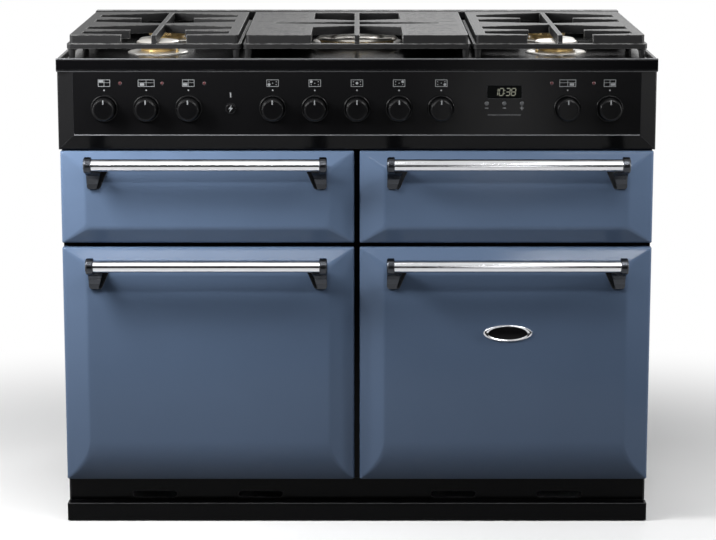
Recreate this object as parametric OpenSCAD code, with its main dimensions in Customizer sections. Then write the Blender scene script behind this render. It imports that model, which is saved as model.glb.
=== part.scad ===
// Free-standing dual-fuel range cooker, 1092 mm wide: two ovens, a glide-out grill,
// a warming drawer and a five-burner gas hob. +Z is up and the front faces -Y.
// Every module below works in the cooker's own depth: Y is measured back from the
// face of the control fascia, and placed() moves the whole to its frame at the end.

/* [Cooker] */
// Width of the hob tray and of the control fascia
width = 1092; // [1080:1:1200]
// Depth from the face of the fascia to the back of the rear panel
depth = 608; // [600:1:680]
// How far the fascia stands past the side panels, each side
fascia_overhang = 2.5; // [1:0.5:6]
// Thickness of the enamelled sheet steel
sheet = 2; // [1.5:0.1:2.4]
// Depth from the fascia's face to the frame that the doors close on
frame_set_back = 44; // [43.5:0.5:50]
// Thickness of that front frame
frame_t = 3; // [2:0.5:5]

/* [Plinth, feet and rollers] */
// Gap between the floor and the plinth
plinth_gap = 2; // [1:0.5:8]
// Height of the plinth
plinth_h = 33; // [25:1:45]
// Depth from the fascia's face to the plinth
plinth_set_back = 23; // [18:1:30]
// Height of the slotted band above the plinth
band_h = 43; // [38:1:60]
// Length of one air slot in the band
air_slot_l = 83; // [40:1:110]
// Height of one air slot
air_slot_h = 11; // [6:1:16]
// Distance of the outer air slots from the side panels
air_slot_inset = 159.5; // [110:0.5:190]
// Distance between the air slots of a pair
air_slot_pitch = 200; // [120:1:220]
// Diameter of a levelling foot's pad
foot_d = 44; // [30:1:60]
// Diameter of a levelling foot's stud
stud_d = 10; // [8:1:14]
// Distance of the feet and rollers from the side panels
foot_inset = 61.5; // [45:0.5:120]
// Diameter of a rear roller
roller_d = 50; // [40:1:56]
// Width of a rear roller
roller_w = 24; // [16:1:36]
// Diameter of a roller's axle
axle_d = 10; // [8:1:14]

/* [Doors and drawer fronts] */
// Gap under the oven doors, above the slotted band
toe_gap = 7; // [6:0.5:12]
// Height of an oven door
door_h = 441.6; // [420:0.1:480]
// Gap between a door and the front above it
row_gap = 8; // [5:0.5:12]
// Height of the grill front and of the drawer front
drawer_h = 171; // [160:1:200]
// Gap between the left and the right fronts
door_gap = 10; // [6:0.5:14]
// Width of the sloped border at the left and right of a front
side_bevel = 46; // [30:1:60]
// Height of the sloped border at the top of a front
top_bevel = 31; // [20:1:45]
// Height of the sloped border at the bottom of a drawer front
drawer_foot_bevel = 30; // [20:1:45]
// Height of the bowed border at the bottom of an oven door
door_foot_bevel = 77; // [50:1:100]
// How far the raised panel stands in front of the rim
bevel_rise = 14; // [8:0.5:18]
// Radius of the rim of a pressed front
rim_r = 6; // [3:0.5:8]
// Depth of the pressed skin's rim, behind the face
rim_depth = 30; // [27:0.5:32]
// Thickness of a whole door, skin and inner panel
front_t = 38; // [36:0.5:38.5]

/* [Handles] */
// Distance of the handle bar's axis in front of the door's face
bar_reach = 46; // [38:1:60]
// Diameter of the handle bar
bar_d = 22; // [16:0.5:26]
// Length of a handle over its end caps
handle_l = 440; // [300:1:460]
// Diameter of an end cap
cap_d = 30; // [28:0.5:36]
// Length of an end cap
cap_l = 14; // [10:0.5:20]
// Height of the bar's axis below the top of a door
door_bar_drop = 24.5; // [18:0.5:40]
// Height of the bar's axis below the top of a drawer front
drawer_bar_drop = 17.5; // [16:0.5:30]
// How far a bracket reaches below the bar's axis
bracket_drop = 50; // [40:1:60]

/* [Door hinges] */
// Diameter of a hinge pin
pin_d = 8; // [6:0.5:9]
// Depth of the hinge pin behind the door's face
pin_depth = 28; // [27:0.5:29]
// Height of the hinge pin above the bottom of the door
pin_rise = 13.5; // [12:0.5:14]
// Distance of a hinge from the middle of its door
hinge_x = 200; // [120:1:215]
// Thickness of a hinge's fixed arm
hinge_arm_t = 6; // [4:0.5:8]
// Thickness of the door's ears either side of the arm
hinge_ear_t = 3; // [2:0.5:4]
// Gap between the arm and an ear
hinge_gap = 1; // [0.6:0.1:1.5]

/* [Control fascia] */
// Gap between the drawer fronts and the fascia
fascia_gap = 2.4; // [1.5:0.1:5]
// Height of the fascia
fascia_h = 145; // [135:1:170]
// Height of the sloped foot of the fascia
fascia_foot = 28.8; // [18:0.1:36]
// Width of the sloped end of the fascia
fascia_end = 30; // [18:0.5:40]
// How far the fascia's face stands in front of its sloped rim
fascia_rise = 16; // [8:0.5:20]
// Thickness of the fascia's wall
fascia_t = 3; // [2:0.1:3.2]
// Distance of the outer knobs' axes from the ends of the fascia
knob_margin = 87; // [76:0.5:110]
// Height of the knobs' axes above the foot of the fascia
knob_rise = 78; // [66:0.5:90]
// Diameter of a knob
knob_d = 42; // [34:0.5:46]
// How far a knob stands in front of the fascia
knob_out = 28; // [20:0.5:36]
// Diameter of a knob's bezel
bezel_d = 50; // [48:0.5:60]
// How far a bezel stands in front of the fascia
bezel_out = 5; // [3:0.5:8]
// Diameter of a tap's or switch's spindle
spindle_d = 8; // [6:0.5:9]
// Diameter of the ignition button
ignition_d = 18; // [12:0.5:20]
// Travel of the ignition button
ignition_travel = 3; // [2:0.1:3.5]
// Width of the clock's window
clock_w = 62.6; // [50:0.1:66]
// Height of the clock's window
clock_h = 23.7; // [18:0.1:26]
// Height of the clock's middle above the foot of the fascia
clock_rise = 108; // [104:0.5:110]
// Diameter of a clock button
clock_button_d = 7; // [5:0.5:8]
// Distance between the clock's buttons
clock_button_pitch = 32; // [20:0.5:34]
// Travel of a clock button
clock_travel = 1.2; // [0.8:0.1:1.4]
// Diameter of a neon indicator
neon_d = 6; // [4:0.5:8]
// Distance of a neon from its knob's axis, towards the middle
neon_shift = 29; // [26:0.5:36]
// Height of the neons above the knobs' axes
neon_rise = 46; // [40:0.5:50]
// Depth from the fascia's face to the ignition switch
ignition_switch_d = 24; // [22:0.5:30]
// Length of a tap's body
tap_l = 34; // [28:1:44]

/* [Ovens] */
// Width of an oven cavity
oven_w = 450; // [430:1:470]
// Height of an oven cavity
oven_h = 366; // [340:1:370]
// Depth of an oven cavity
oven_d = 460; // [440:1:465]
// Height of the cavity's floor above the bottom of its door
oven_floor_rise = 39; // [34:0.5:44]
// Width of the flange round a cavity
flange_w = 16; // [12:0.5:18]
// Distance of the fan's cover from the cavity's back wall
fan_space = 40; // [36:1:50]
// Diameter of the fan
fan_d = 150; // [120:1:160]
// Number of blades on a fan
fan_blades = 10; // [6:1:14]
// Width of a fan motor's core
motor_w = 70; // [50:1:80]
// Height of a fan motor's core
motor_h = 56; // [40:1:60]
// Diameter of the ring element round the fan
element_ring_d = 196; // [180:1:220]
// Diameter of an element's tube
element_d = 7; // [6:0.5:9]
// Diameter of a shelf ladder's wire
ladder_wire = 5; // [4:0.5:6]
// Diameter of a shelf's wire
shelf_wire = 4; // [3:0.5:5]
// Number of shelf positions
shelf_positions = 5; // [3:1:6]
// Number of cross wires in a shelf
shelf_bars = 9; // [7:2:19]

/* [Grill and warming drawer] */
// Height of the upper cavities
upper_h = 118; // [112:1:126]
// Depth of the upper cavities
upper_d = 430; // [400:1:465]
// Height of an upper cavity's floor above the bottom of its front
upper_floor_rise = 26; // [22:0.5:30]
// Number of loops in the grill element
grill_loops = 4; // [3:1:4]
// Distance between the runs of the grill element
grill_pitch = 46; // [30:1:50]
// Height of a drawer runner
runner_h = 30; // [24:1:36]
// Length of a drawer runner
runner_l = 400; // [340:1:420]
// Width of a drawer runner
runner_w = 12; // [10:0.5:14]
// Thickness of a runner's metal
runner_t = 1.5; // [1.2:0.1:1.8]
// Height of the lips that hold a runner's slide
runner_lip = 6; // [4:0.5:7]
// Height of the runners above the floor of an upper cavity
runner_rise = 34; // [30:1:40]
// Gap between a runner and the drawer's side
runner_gap = 4; // [3:0.5:6]
// Width of the side rails that carry the grill pan
pan_rail_w = 14; // [10:1:20]
// Gap between the grill pan and its rails
pan_gap = 2; // [1:0.5:3]
// Depth of the grill pan
pan_h = 30; // [20:1:36]
// Height of the grill rack's wires above the pan's floor
rack_rise = 18; // [12:1:22]
// Diameter of the grill rack's frame wire
rack_wire = 5; // [4:0.5:6]
// Height of the warming drawer's box
box_h = 84; // [60:1:92]

/* [Hob] */
// Height of the hob tray over its front lip
tray_h = 23.6; // [18:0.1:30]
// How far the lip stands above the hob's surface
lip_rise = 5.6; // [3:0.1:8]
// Width of the lip
lip_w = 9; // [6:0.5:16]
// Height of the pan supports above the hob's surface
support_h = 42; // [38:0.5:50]
// Height of the upper casting of a pan support
casting_h = 16; // [12:0.5:18]
// Height of the ledge under the upper casting
ledge_h = 9; // [6:0.5:12]
// How far the ledge stands past the upper casting
ledge_w = 5; // [3:0.5:8]
// Depth of a pan support, front to back
support_l = 480; // [460:1:490]
// Depth from the fascia's face to the front of the pan supports
support_set_back = 67; // [55:1:72]
// Width of a side pan support's upper casting
side_support_w = 310; // [290:1:318]
// Width of the middle pan support's upper casting
mid_support_w = 408; // [380:1:414]
// Distance of the side burners from the middle
burner_x = 373; // [370:1:378]
// Depth of the front burners behind the fascia's face
front_burner_depth = 165; // [160:1:172]
// Depth of the rear burners behind the fascia's face
rear_burner_depth = 410; // [402:1:416]
// Depth of the wok burner behind the fascia's face
wok_depth = 307; // [300:1:314]
// Width of the bar that runs over the burners
spine_w = 9; // [6:0.5:12]
// Diameter of a side burner's base ring
base_d = 113; // [100:1:120]
// Diameter of a side burner's head
head_d = 74; // [60:1:90]
// Diameter of a side burner's cap
burner_cap_d = 80; // [70:1:96]
// Diameter of the wok burner's base ring
wok_base_d = 174; // [150:1:176]
// Diameter of the wok burner's outer head
wok_head_d = 150; // [130:1:156]
// Diameter of the wok burner's middle cap
wok_cap_d = 90; // [70:1:92]
// Distance of a finger's tip from its burner's centre
finger_tip = 52; // [44:1:60]
// Width of the fingers of a front burner where they leave the rail
front_finger_w = 46; // [30:1:60]
// Width of the fingers of a rear burner where they leave the rail
rear_finger_w = 58; // [36:1:66]
// Half width of the opening in the rail before a front burner
front_gap = 60; // [40:1:70]
// Width of the side rail of a side pan support
side_rail_w = 19; // [14:0.5:24]
// Half width of the open wells before and behind the wok burner
wok_well = 84; // [70:1:100]
// Number of flame ports round a side burner
burner_ports = 24; // [12:2:36]
// Depth of the flue vent, front to back
vent_d = 50; // [40:1:54]
// Gap between the pan supports and the flue vent
vent_gap = 9; // [6:1:20]
// Length of each flue outlet in the tray, under the vent
flue_l = 180; // [120:1:220]
// Width of a flue outlet
flue_w = 20; // [12:0.5:24]

/* [Rear connections] */
// Distance of the gas inlet and of the cable gland from the side panels
inlet_inset = 71.5; // [45:0.5:120]
// Diameter of the gas inlet's threaded bore
inlet_bore_d = 18.6; // [12:0.1:24]
// Depth of the gas inlet's bore
inlet_l = 20; // [12:0.5:30]
// Diameter of the cable gland's bore
gland_bore_d = 16; // [10:0.5:24]
// Length of the cable gland
gland_l = 12; // [8:0.5:20]

/* [Clearances] */
// Gap between a piece and the seat it rests in
seat = 0.3; // [0.1:0.05:0.4]
// Radial gap between a turning shaft and its bearing
running = 0.06; // [0.02:0.01:0.1]
// Gap round a push button or a moving knob
free_gap = 0.6; // [0.4:0.1:1]

/* [Hidden] */

$fn = 48;
blue = [0.23, 0.31, 0.42];
black = [0.05, 0.05, 0.06];
grey = [0.55, 0.56, 0.58];
chrome = [0.82, 0.83, 0.85];
brass = [0.72, 0.57, 0.30];
eps = 0.01;
past = 1;

face_y = bar_reach + cap_d / 2 - (depth + bar_reach + cap_d / 2) / 2;
carcass_w = width - 2 * fascia_overhang;
inner_x = carcass_w / 2 - sheet;
plinth_top = plinth_gap + plinth_h;
chassis_top = plinth_top + band_h;
chassis_foot = plinth_top - sheet;
chassis_front = frame_set_back + sheet;
door_z = chassis_top + toe_gap;
door_top = door_z + door_h;
drawer_z = door_top + row_gap;
drawer_top = drawer_z + drawer_h;
fascia_z = drawer_top + fascia_gap;
fascia_top = fascia_z + fascia_h;
hob_z = fascia_top + tray_h - lip_rise;
front_w = (carcass_w - door_gap) / 2;
front_x = (door_gap + front_w) / 2;
frame_back = frame_set_back + frame_t;

oven_z = door_z + oven_floor_rise;
oven_back = frame_back + oven_d;
oven_mid_z = oven_z + oven_h / 2;
upper_z = drawer_z + upper_floor_rise;
upper_back = frame_back + upper_d;
// the upper cavities take the runners inside the same width as the ovens
upper_w = oven_w;
runner_front = frame_back + 4;
runner_mid_z = upper_z + runner_rise + runner_h / 2;
slide_back = frame_back + runner_l;
box_w = upper_w - 2 * (runner_w + runner_gap);
// the grill pan hangs in a frame that ends short of the element's back
carrier_t = 8;
carrier_back = slide_back - 60;
pan_front = front_t + 30 + pan_gap;
pan_l = carrier_back - pan_rail_w - pan_gap - pan_front;
pan_w = box_w - 2 * (pan_rail_w + pan_gap);
pan_top = runner_mid_z + carrier_t / 2;
pan_z = pan_top - pan_h + 2;
pan_floor = pan_z + sheet;

foot_x = inner_x - foot_inset;
inlet_x = inner_x - inlet_inset;
air_slot_x = inner_x - air_slot_inset - air_slot_pitch / 2;

// thirteen places for knobs across the fascia, the clock between the second and the fifth
knob_pitch = (width / 2 - knob_margin) / 6;
clock_x = 3.5 * knob_pitch;
knob_z = fascia_z + knob_rise;
knob_slots = [-6, -5, -4, -2, -1, 0, 1, 2, 5, 6];
gas_slots = [-2, -1, 0, 1, 2];
oven_slots = [-6, -5, -4, 5, 6];
ignition_slot = -3;
neon_z = knob_z + neon_rise;
neon_xs = [for (n = oven_slots) n * knob_pitch - sign(n) * neon_shift];
window_w = 13 * knob_pitch;
window_h = 84;
tap_front = frame_set_back + 8;
spindle_end = tap_front + 20;

roller_y = depth - 50;
foot_y = frame_set_back + 56;
roller_z = roller_d / 2;

support_y = support_set_back + support_l / 2;
vent_front = support_set_back + support_l + vent_gap;
casting_z = hob_z + support_h - casting_h;
ledge_z = casting_z - ledge_h;
side_burner_depths = [front_burner_depth, rear_burner_depth];
cap_top = hob_z + 24;
wok_cap_top = hob_z + 17;

// A prism along X, centred, from an outline in depth and height.
module along_x(len) {
  translate([-len / 2, 0, 0])
    rotate([90, 0, 90])
      linear_extrude(len)
        children();
}

// A plate across the cooker from an outline in X and Z, from depth d back by t.
module plate(d, t) {
  translate([0, d + t, 0])
    rotate([90, 0, 0])
      linear_extrude(t)
        children();
}

// A round bar along Y.
module rod_y(x, z, r, d0, d1) {
  translate([x, d0, z])
    rotate([-90, 0, 0])
      cylinder(r = r, h = d1 - d0);
}

// A round bar along X, from x0 to x1.
module rod_x(y, z, r, x0, x1) {
  translate([x0, y, z])
    rotate([0, 90, 0])
      cylinder(r = r, h = x1 - x0);
}

// A solid of revolution about an axis along Y, from an outline in radius and depth.
module turned_y(x, z) {
  translate([x, 0, z])
    rotate([-90, 0, 0])
      rotate_extrude()
        children();
}

// A rectangle with round corners, centred.
module round_rect(w, h, r) {
  square([w - 2 * r, h], center = true);
  square([w, h - 2 * r], center = true);
  for (sx = [-1, 1], sy = [-1, 1])
    translate([sx * (w / 2 - r), sy * (h / 2 - r)])
      circle(r = r);
}

// A slot with round ends, centred, long in X.
module slot_2d(l, h) {
  square([l - h, h], center = true);
  for (sx = [-1, 1])
    translate([sx * (l - h) / 2, 0])
      circle(d = h);
}

module placed() {
  translate([0, face_y, 0])
    children();
}

// Points round the rim of a pressed front: from its side wall, over the rim's radius
// and on to the slope, which meets the face at the given run.
function rim_points(run, rise, r, t) =
  let (slope = atan2(rise, run - t),
       rr = max(r - t, 1),
       c = (rr + (run - t - rr) * sin(slope)) / cos(slope))
  [for (i = [0 : 4]) let (a = i * (90 - slope) / 4) [t + rr - rr * cos(a), t + c - rr * sin(a)]];

// Points of a bowed border: an arc that leaves the face smoothly.
function bow_points(run, rise, t) =
  let (r = (run * run + rise * rise) / (2 * rise))
  [for (i = [0 : 8]) let (u = t + (run - t) * i / 8)
    [u, t + r - sqrt(r * r - (run - u) * (run - u))]];

function flipped(points, span) =
  [for (i = [len(points) - 1 : -1 : 0]) [span - points[i][0], points[i][1]]];
function swapped(points) = [for (p = points) [p[1], p[0]]];

// The form of a pressed front of width w and height h with its face at depth 0,
// sloped on four sides; inset by t it is the inside of the sheet.
module front_form(w, h, side, top, foot, rise, r, back, t, bowed) {
  side_points = concat(rim_points(side, rise, r, t), [[side, t]]);
  top_points = concat(rim_points(top, rise, r, t), [[top, t]]);
  foot_points = bowed ? bow_points(foot, rise, t)
    : concat(rim_points(foot, rise, r, t), [[foot, t]]);
  intersection() {
    translate([-w / 2, 0, 0])
      linear_extrude(h)
        polygon(concat([[t, back]], side_points, flipped(side_points, w), [[w - t, back]]));
    along_x(w)
      polygon(swapped(concat([[t, back]], foot_points, flipped(top_points, h), [[h - t, back]])));
  }
}

// The pressed steel skin of a door or drawer front, open at its back.
module front_skin(h, foot, bowed) {
  difference() {
    front_form(front_w, h, side_bevel, top_bevel, foot, bevel_rise, rim_r, rim_depth, 0, bowed);
    front_form(front_w, h, side_bevel, top_bevel, foot, bevel_rise, rim_r, rim_depth + past,
      sheet, bowed);
  }
}

// The inner panel that closes a skin from behind: a shallow pan with its walls inside
// the skin's walls.
module inner_panel(h) {
  w = front_w - 2 * (sheet + seat);
  wall_d = rim_depth - 12;
  difference() {
    translate([-w / 2, wall_d, sheet + seat])
      cube([w, front_t - wall_d, h - 2 * (sheet + seat)]);
    translate([-w / 2 + sheet, wall_d - past, 2 * sheet + seat])
      cube([w - 2 * sheet, front_t - wall_d - sheet + past, h - 4 * sheet - 2 * seat]);
  }
}

// Where the hinges' fixed arms enter a door, as the door's own cut.
module hinge_notches() {
  for (sx = [-1, 1])
    translate([sx * hinge_x - hinge_arm_t / 2 - hinge_gap, pin_depth - 9, -past])
      cube([hinge_arm_t + 2 * hinge_gap, front_t + past - pin_depth + 9, pin_rise + 9 + past]);
}

module door_skin() {
  color(blue)
    translate([0, 0, door_z])
      difference() {
        front_skin(door_h, door_foot_bevel, true);
        hinge_notches();
      }
}

// Ears either side of each fixed hinge arm, bored for its pin.
module hinge_ears() {
  ear_top = pin_rise + 13;
  for (sx = [-1, 1], side = [-1, 1])
    difference() {
      translate([sx * hinge_x + side * (hinge_arm_t / 2 + hinge_gap + hinge_ear_t / 2), 0, 0])
        along_x(hinge_ear_t)
          polygon([
            [pin_depth - 7.5, pin_rise - 6], [pin_depth - 4, sheet + seat + sheet / 2],
            [front_t - sheet / 2, sheet + seat + sheet / 2], [front_t - sheet / 2, ear_top],
            [pin_depth - 4, ear_top]
          ]);
      rod_x(pin_depth, pin_rise, pin_d / 2 + running,
        sx * hinge_x - 20, sx * hinge_x + 20);
    }
}

module door_liner() {
  color(black)
    translate([0, 0, door_z])
      union() {
        difference() {
          inner_panel(door_h);
          hinge_notches();
        }
        hinge_ears();
        // the raised pressing that stiffens the panel's oven side
        difference() {
          plate(front_t - eps, 1.6)
            translate([0, oven_floor_rise + oven_h / 2])
              round_rect(oven_w - 40, oven_h - 40, 18);
          plate(front_t - past, 4)
            translate([0, oven_floor_rise + oven_h / 2])
              round_rect(oven_w - 64, oven_h - 64, 12);
        }
      }
}

// One handle: a plain bar held by two cast ends, which sweep back and down to the face.
module handle(bar_z) {
  color(chrome)
    translate([0, 0, bar_z]) {
      bar_end = handle_l / 2 - cap_l + 5;
      rod_x(-bar_reach, 0, bar_d / 2, -bar_end + seat, bar_end - seat);
      for (sx = [-1, 1])
        mirror([sx < 0 ? 1 : 0, 0, 0])
          handle_end(bar_end);
    }
}

module handle_end(bar_end) {
  r = cap_d / 2;
  difference() {
    union() {
      translate([0, -bar_reach, 0])
        rotate([0, 90, 0])
          rotate_extrude()
            polygon([
              [0, handle_l / 2 - cap_l], [r - 1, handle_l / 2 - cap_l],
              [r, handle_l / 2 - cap_l + 1], [r, handle_l / 2 - 3],
              [r - 1, handle_l / 2 - 1], [r - 3.5, handle_l / 2], [0, handle_l / 2]
            ]);
      bracket();
    }
    rod_x(-bar_reach, 0, bar_d / 2 + seat, -past, bar_end);
  }
}

// The swept bracket: its side outline cut by its front outline.
module bracket() {
  outer = handle_l / 2 - 1;
  foot = -bracket_drop;
  intersection() {
    translate([outer - 20, 0, 0])
      along_x(44)
        polygon(concat(
          [for (i = [0 : 6]) let (a = i * 15)
            [-bar_reach + 6 + (bar_reach - 6) * sin(a), -8 - (bracket_drop - 36) * (1 - cos(a))]],
          [[0, foot + 12], [0, foot]],
          [for (i = [6 : -1 : 0]) let (a = i * 15)
            [-bar_reach - 4 + (bar_reach - 2) * sin(a), -12 + (foot + 12) * (1 - cos(a))]]
        ));
    plate(-bar_reach - 30, bar_reach + 40)
      polygon([
        [outer - 30, -7], [outer - 17, foot], [outer - 3, foot], [outer, foot + 4], [outer, -7]
      ]);
  }
}

// The chassis: an inverted tray whose front wall is the slotted band, with the rear
// rollers' cheeks and axles below it.
module base_chassis() {
  color(black) {
    difference() {
      translate([-inner_x, chassis_front, chassis_foot])
        cube([2 * inner_x, depth - sheet - chassis_front, chassis_top - chassis_foot]);
      translate([-inner_x + sheet, chassis_front + sheet, chassis_foot - past])
        cube([2 * (inner_x - sheet), depth - 3 * sheet - chassis_front,
          chassis_top - chassis_foot - sheet + past]);
      for (sx = [-1, 1], side = [-0.5, 0.5])
        plate(chassis_front - past, sheet + 2 * past)
          translate([sx * air_slot_x + side * air_slot_pitch, plinth_top + air_slot_h])
            slot_2d(air_slot_l, air_slot_h);
    }
    for (sx = [-1, 1])
      roller_bracket(sx * foot_x);
  }
}

module roller_bracket(x) {
  cheek = 4;
  gap = roller_w / 2 + free_gap;
  for (side = [-1, 1])
    translate([x + side * (gap + cheek / 2), 0, 0])
      along_x(cheek)
        union() {
          translate([roller_y, roller_z])
            circle(d = axle_d + 14);
          translate([roller_y - axle_d / 2 - 7, roller_z])
            square([axle_d + 14, chassis_top - sheet - roller_z + eps]);
        }
  rod_x(roller_y, roller_z, axle_d / 2, x - gap - cheek, x + gap + cheek);
}

// A roller runs on its axle; both rollers turn about one line.
module rear_rollers() {
  color(black)
    for (sx = [-1, 1])
      translate([sx * foot_x - roller_w / 2, roller_y, roller_z])
        rotate([0, 90, 0])
          rotate_extrude()
            polygon([
              [axle_d / 2 + running, 0], [roller_d / 2 - 2, 0], [roller_d / 2, 2],
              [roller_d / 2, roller_w - 2], [roller_d / 2 - 2, roller_w],
              [axle_d / 2 + running, roller_w]
            ]);
}

module levelling_feet() {
  color(grey)
    for (sx = [-1, 1])
      translate([sx * foot_x, foot_y, 0]) {
        rotate_extrude()
          polygon([
            [0, 0], [foot_d / 2, 0], [foot_d / 2, 5], [stud_d, 12], [stud_d / 2, 14],
            [stud_d / 2, chassis_top - sheet], [0, chassis_top - sheet]
          ]);
        translate([0, 0, chassis_top - sheet - 8])
          cylinder(d = stud_d * 1.9, h = 8, $fn = 6);
      }
}

// Side panels: flat sheets with returned front and rear edges.
module side_panels() {
  color(black)
    for (sx = [-1, 1])
      mirror([sx < 0 ? 1 : 0, 0, 0])
        difference() {
          translate([inner_x - 14, frame_back, plinth_top])
            cube([14 + sheet, depth - sheet - frame_back, fascia_top - plinth_top]);
          translate([inner_x - 14 - past, frame_back + sheet, plinth_top - past])
            cube([14 + past, depth - 3 * sheet - frame_back,
              fascia_top - plinth_top + 2 * past]);
          // the chassis and the frame's lower edge stand inside the returns
          translate([inner_x - 14 - past, frame_back - past, plinth_top - past])
            cube([14 + past, depth, band_h + past + seat]);
        }
}

// Rear panel with the cooling louvres behind the fan motors and above them, the gas
// inlet's threaded boss and the mains cable's gland.
module back_panel() {
  color(grey)
    difference() {
      union() {
        plate(depth - sheet, sheet)
          translate([-carcass_w / 2, plinth_top])
            square([carcass_w, fascia_top - plinth_top]);
        rod_y(-inlet_x, knob_z, inlet_bore_d / 2 + 7, depth - inlet_l - 6, depth - sheet / 2);
        rod_y(inlet_x, knob_z, gland_bore_d / 2 + 6, depth - gland_l, depth - sheet / 2);
      }
      rod_y(-inlet_x, knob_z, inlet_bore_d / 2, depth - inlet_l, depth + past);
      rod_y(inlet_x, knob_z, gland_bore_d / 2, depth - gland_l - past, depth + past);
      for (sx = [-1, 1], i = [0 : 5])
        plate(depth - sheet - past, sheet + 2 * past)
          translate([sx * front_x, oven_mid_z - 50 + i * 20])
            slot_2d(150, 8);
      for (i = [-5 : 5])
        plate(depth - sheet - past, sheet + 2 * past)
          translate([i * inlet_x / 6, knob_z + 20])
            slot_2d(60, 8);
    }
}

// The front frame: one enamelled plate with the four cavity openings and the window
// that the taps and switches stand in.
module front_frame() {
  color(black)
    plate(frame_set_back, frame_t)
      difference() {
        translate([-carcass_w / 2, chassis_top])
          square([carcass_w, fascia_top - chassis_top]);
        for (sx = [-1, 1]) {
          translate([sx * front_x, oven_mid_z])
            round_rect(oven_w, oven_h, 12);
          translate([sx * front_x, upper_z + upper_h / 2])
            round_rect(upper_w, upper_h, 8);
        }
        translate([0, knob_z])
          round_rect(window_w, window_h, 6);
      }
}

// The plinth: a front with a ledge that meets the band, and a return at each end.
module plinth() {
  half = width / 2 - 1;
  color(black)
    difference() {
      translate([-half, plinth_set_back, plinth_gap])
        cube([2 * half, chassis_front + 40 - plinth_set_back, plinth_h]);
      translate([-half + sheet, plinth_set_back + sheet, plinth_gap - past])
        cube([2 * (half - sheet), chassis_front + 40, plinth_h - sheet + past]);
      translate([-half - past, chassis_front, plinth_gap + plinth_h - sheet - seat])
        cube([2 * (half + past), chassis_front + 40, plinth_h]);
    }
}

// A cavity's box: walls behind the frame, and a flange against it.
module cavity_box(w, h, z, d, r) {
  difference() {
    union() {
      plate(frame_back, d + sheet)
        translate([0, z + h / 2])
          round_rect(w + 2 * sheet, h + 2 * sheet, r + sheet);
      plate(frame_back, sheet)
        translate([0, z + h / 2])
          round_rect(w + 2 * flange_w, h + 2 * flange_w, r);
    }
    plate(frame_back - past, d + past)
      translate([0, z + h / 2])
        round_rect(w, h, r);
  }
}

module oven_liner() {
  color(black)
    difference() {
      cavity_box(oven_w, oven_h, oven_z, oven_d, 12);
      rod_y(0, oven_mid_z, 14, oven_back - past, oven_back + sheet + past);
      for (sx = [-1, 1])
        rod_y(sx * 30, oven_mid_z + sqrt(pow(element_ring_d / 2, 2) - 900), element_d / 2,
          oven_back - past, oven_back + sheet + past);
    }
}

// The fixed channel of a drawer runner, open towards the drawer.
module runner_channel(sx) {
  t = runner_t;
  lip = t + runner_lip;
  translate([sx * upper_w / 2, runner_front, runner_mid_z - runner_h / 2])
    mirror([sx < 0 ? 1 : 0, 0, 0])
      difference() {
        translate([-runner_w, 0, 0])
          cube([runner_w, runner_l, runner_h]);
        translate([-runner_w + t, -past, t])
          cube([runner_w - 2 * t, runner_l + 2 * past, runner_h - 2 * t]);
        translate([-runner_w - past, -past, lip])
          cube([runner_w, runner_l + 2 * past, runner_h - 2 * lip]);
      }
}

module upper_housing() {
  color(grey) {
    cavity_box(upper_w, upper_h, upper_z, upper_d, 8);
    for (sx = [-1, 1])
      runner_channel(sx);
  }
}

// The grill's housing is bored where its element's ends leave it.
module grill_housing() {
  difference() {
    upper_housing();
    for (sx = [-1, 1])
      rod_y(sx * (2 * grill_loops - 1) * grill_pitch / 2, grill_element_z(), element_d / 2 + free_gap,
        upper_back - past, upper_back + sheet + past);
  }
}

function grill_element_z() = upper_z + upper_h - 16;

// The moving member of a runner: a bar in the channel with a web out to the drawer.
module runner_slide(sx) {
  t = runner_t + free_gap;
  bar_h = runner_h - 2 * t;
  web_h = bar_h - 2 * runner_lip;
  translate([sx * upper_w / 2, 0, runner_mid_z])
    mirror([sx < 0 ? 1 : 0, 0, 0]) {
      translate([-runner_w + t, runner_front, -bar_h / 2])
        cube([runner_w - 2 * t, slide_back - runner_front, bar_h]);
      translate([-runner_w - runner_gap, front_t - eps, -web_h / 2])
        cube([runner_gap + t + free_gap, slide_back - front_t, web_h]);
    }
}

// The seal round each oven opening, fixed to the frame.
module oven_seals() {
  color(black)
    for (sx = [-1, 1])
      plate(front_t + seat, frame_set_back - front_t - seat)
        translate([sx * front_x, oven_mid_z])
          difference() {
            round_rect(oven_w + 22, oven_h + 22, 20);
            round_rect(oven_w + 8, oven_h + 8, 14);
          }
}

// The fixed arms of the door hinges, each with its pin.
module hinge_brackets() {
  pin_l = hinge_arm_t + 2 * (hinge_gap + hinge_ear_t) + 1;
  color(grey)
    for (sx = [-1, 1], hx = [-1, 1])
      translate([sx * front_x + hx * hinge_x, 0, door_z + pin_rise]) {
        along_x(hinge_arm_t)
          union() {
            translate([pin_depth, 0])
              circle(r = pin_d / 2 + 2.5);
            translate([pin_depth, -pin_d / 2 - 1])
              square([frame_set_back - pin_depth, pin_d + 2]);
          }
        rod_x(pin_depth, 0, pin_d / 2, -pin_l / 2, pin_l / 2);
      }
}

// A wire shelf: a rim with the wires across it.
module shelf(z) {
  w = oven_w - 2 * (2 * seat + ladder_wire);
  d0 = frame_back + 14;
  d1 = oven_back - fan_space - 16;
  r = shelf_wire / 2 + 0.5;
  for (sx = [-1, 1])
    rod_y(sx * (w / 2 - r), z, r, d0, d1);
  for (d = [d0 + r, d1 - r])
    rod_x(d, z, r, -w / 2 + r, w / 2 - r);
  for (i = [1 : shelf_bars])
    rod_y(-w / 2 + i * w / (shelf_bars + 1), z + shelf_wire / 2, shelf_wire / 2,
      d0 + r / 2, d1 - r / 2);
}

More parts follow.
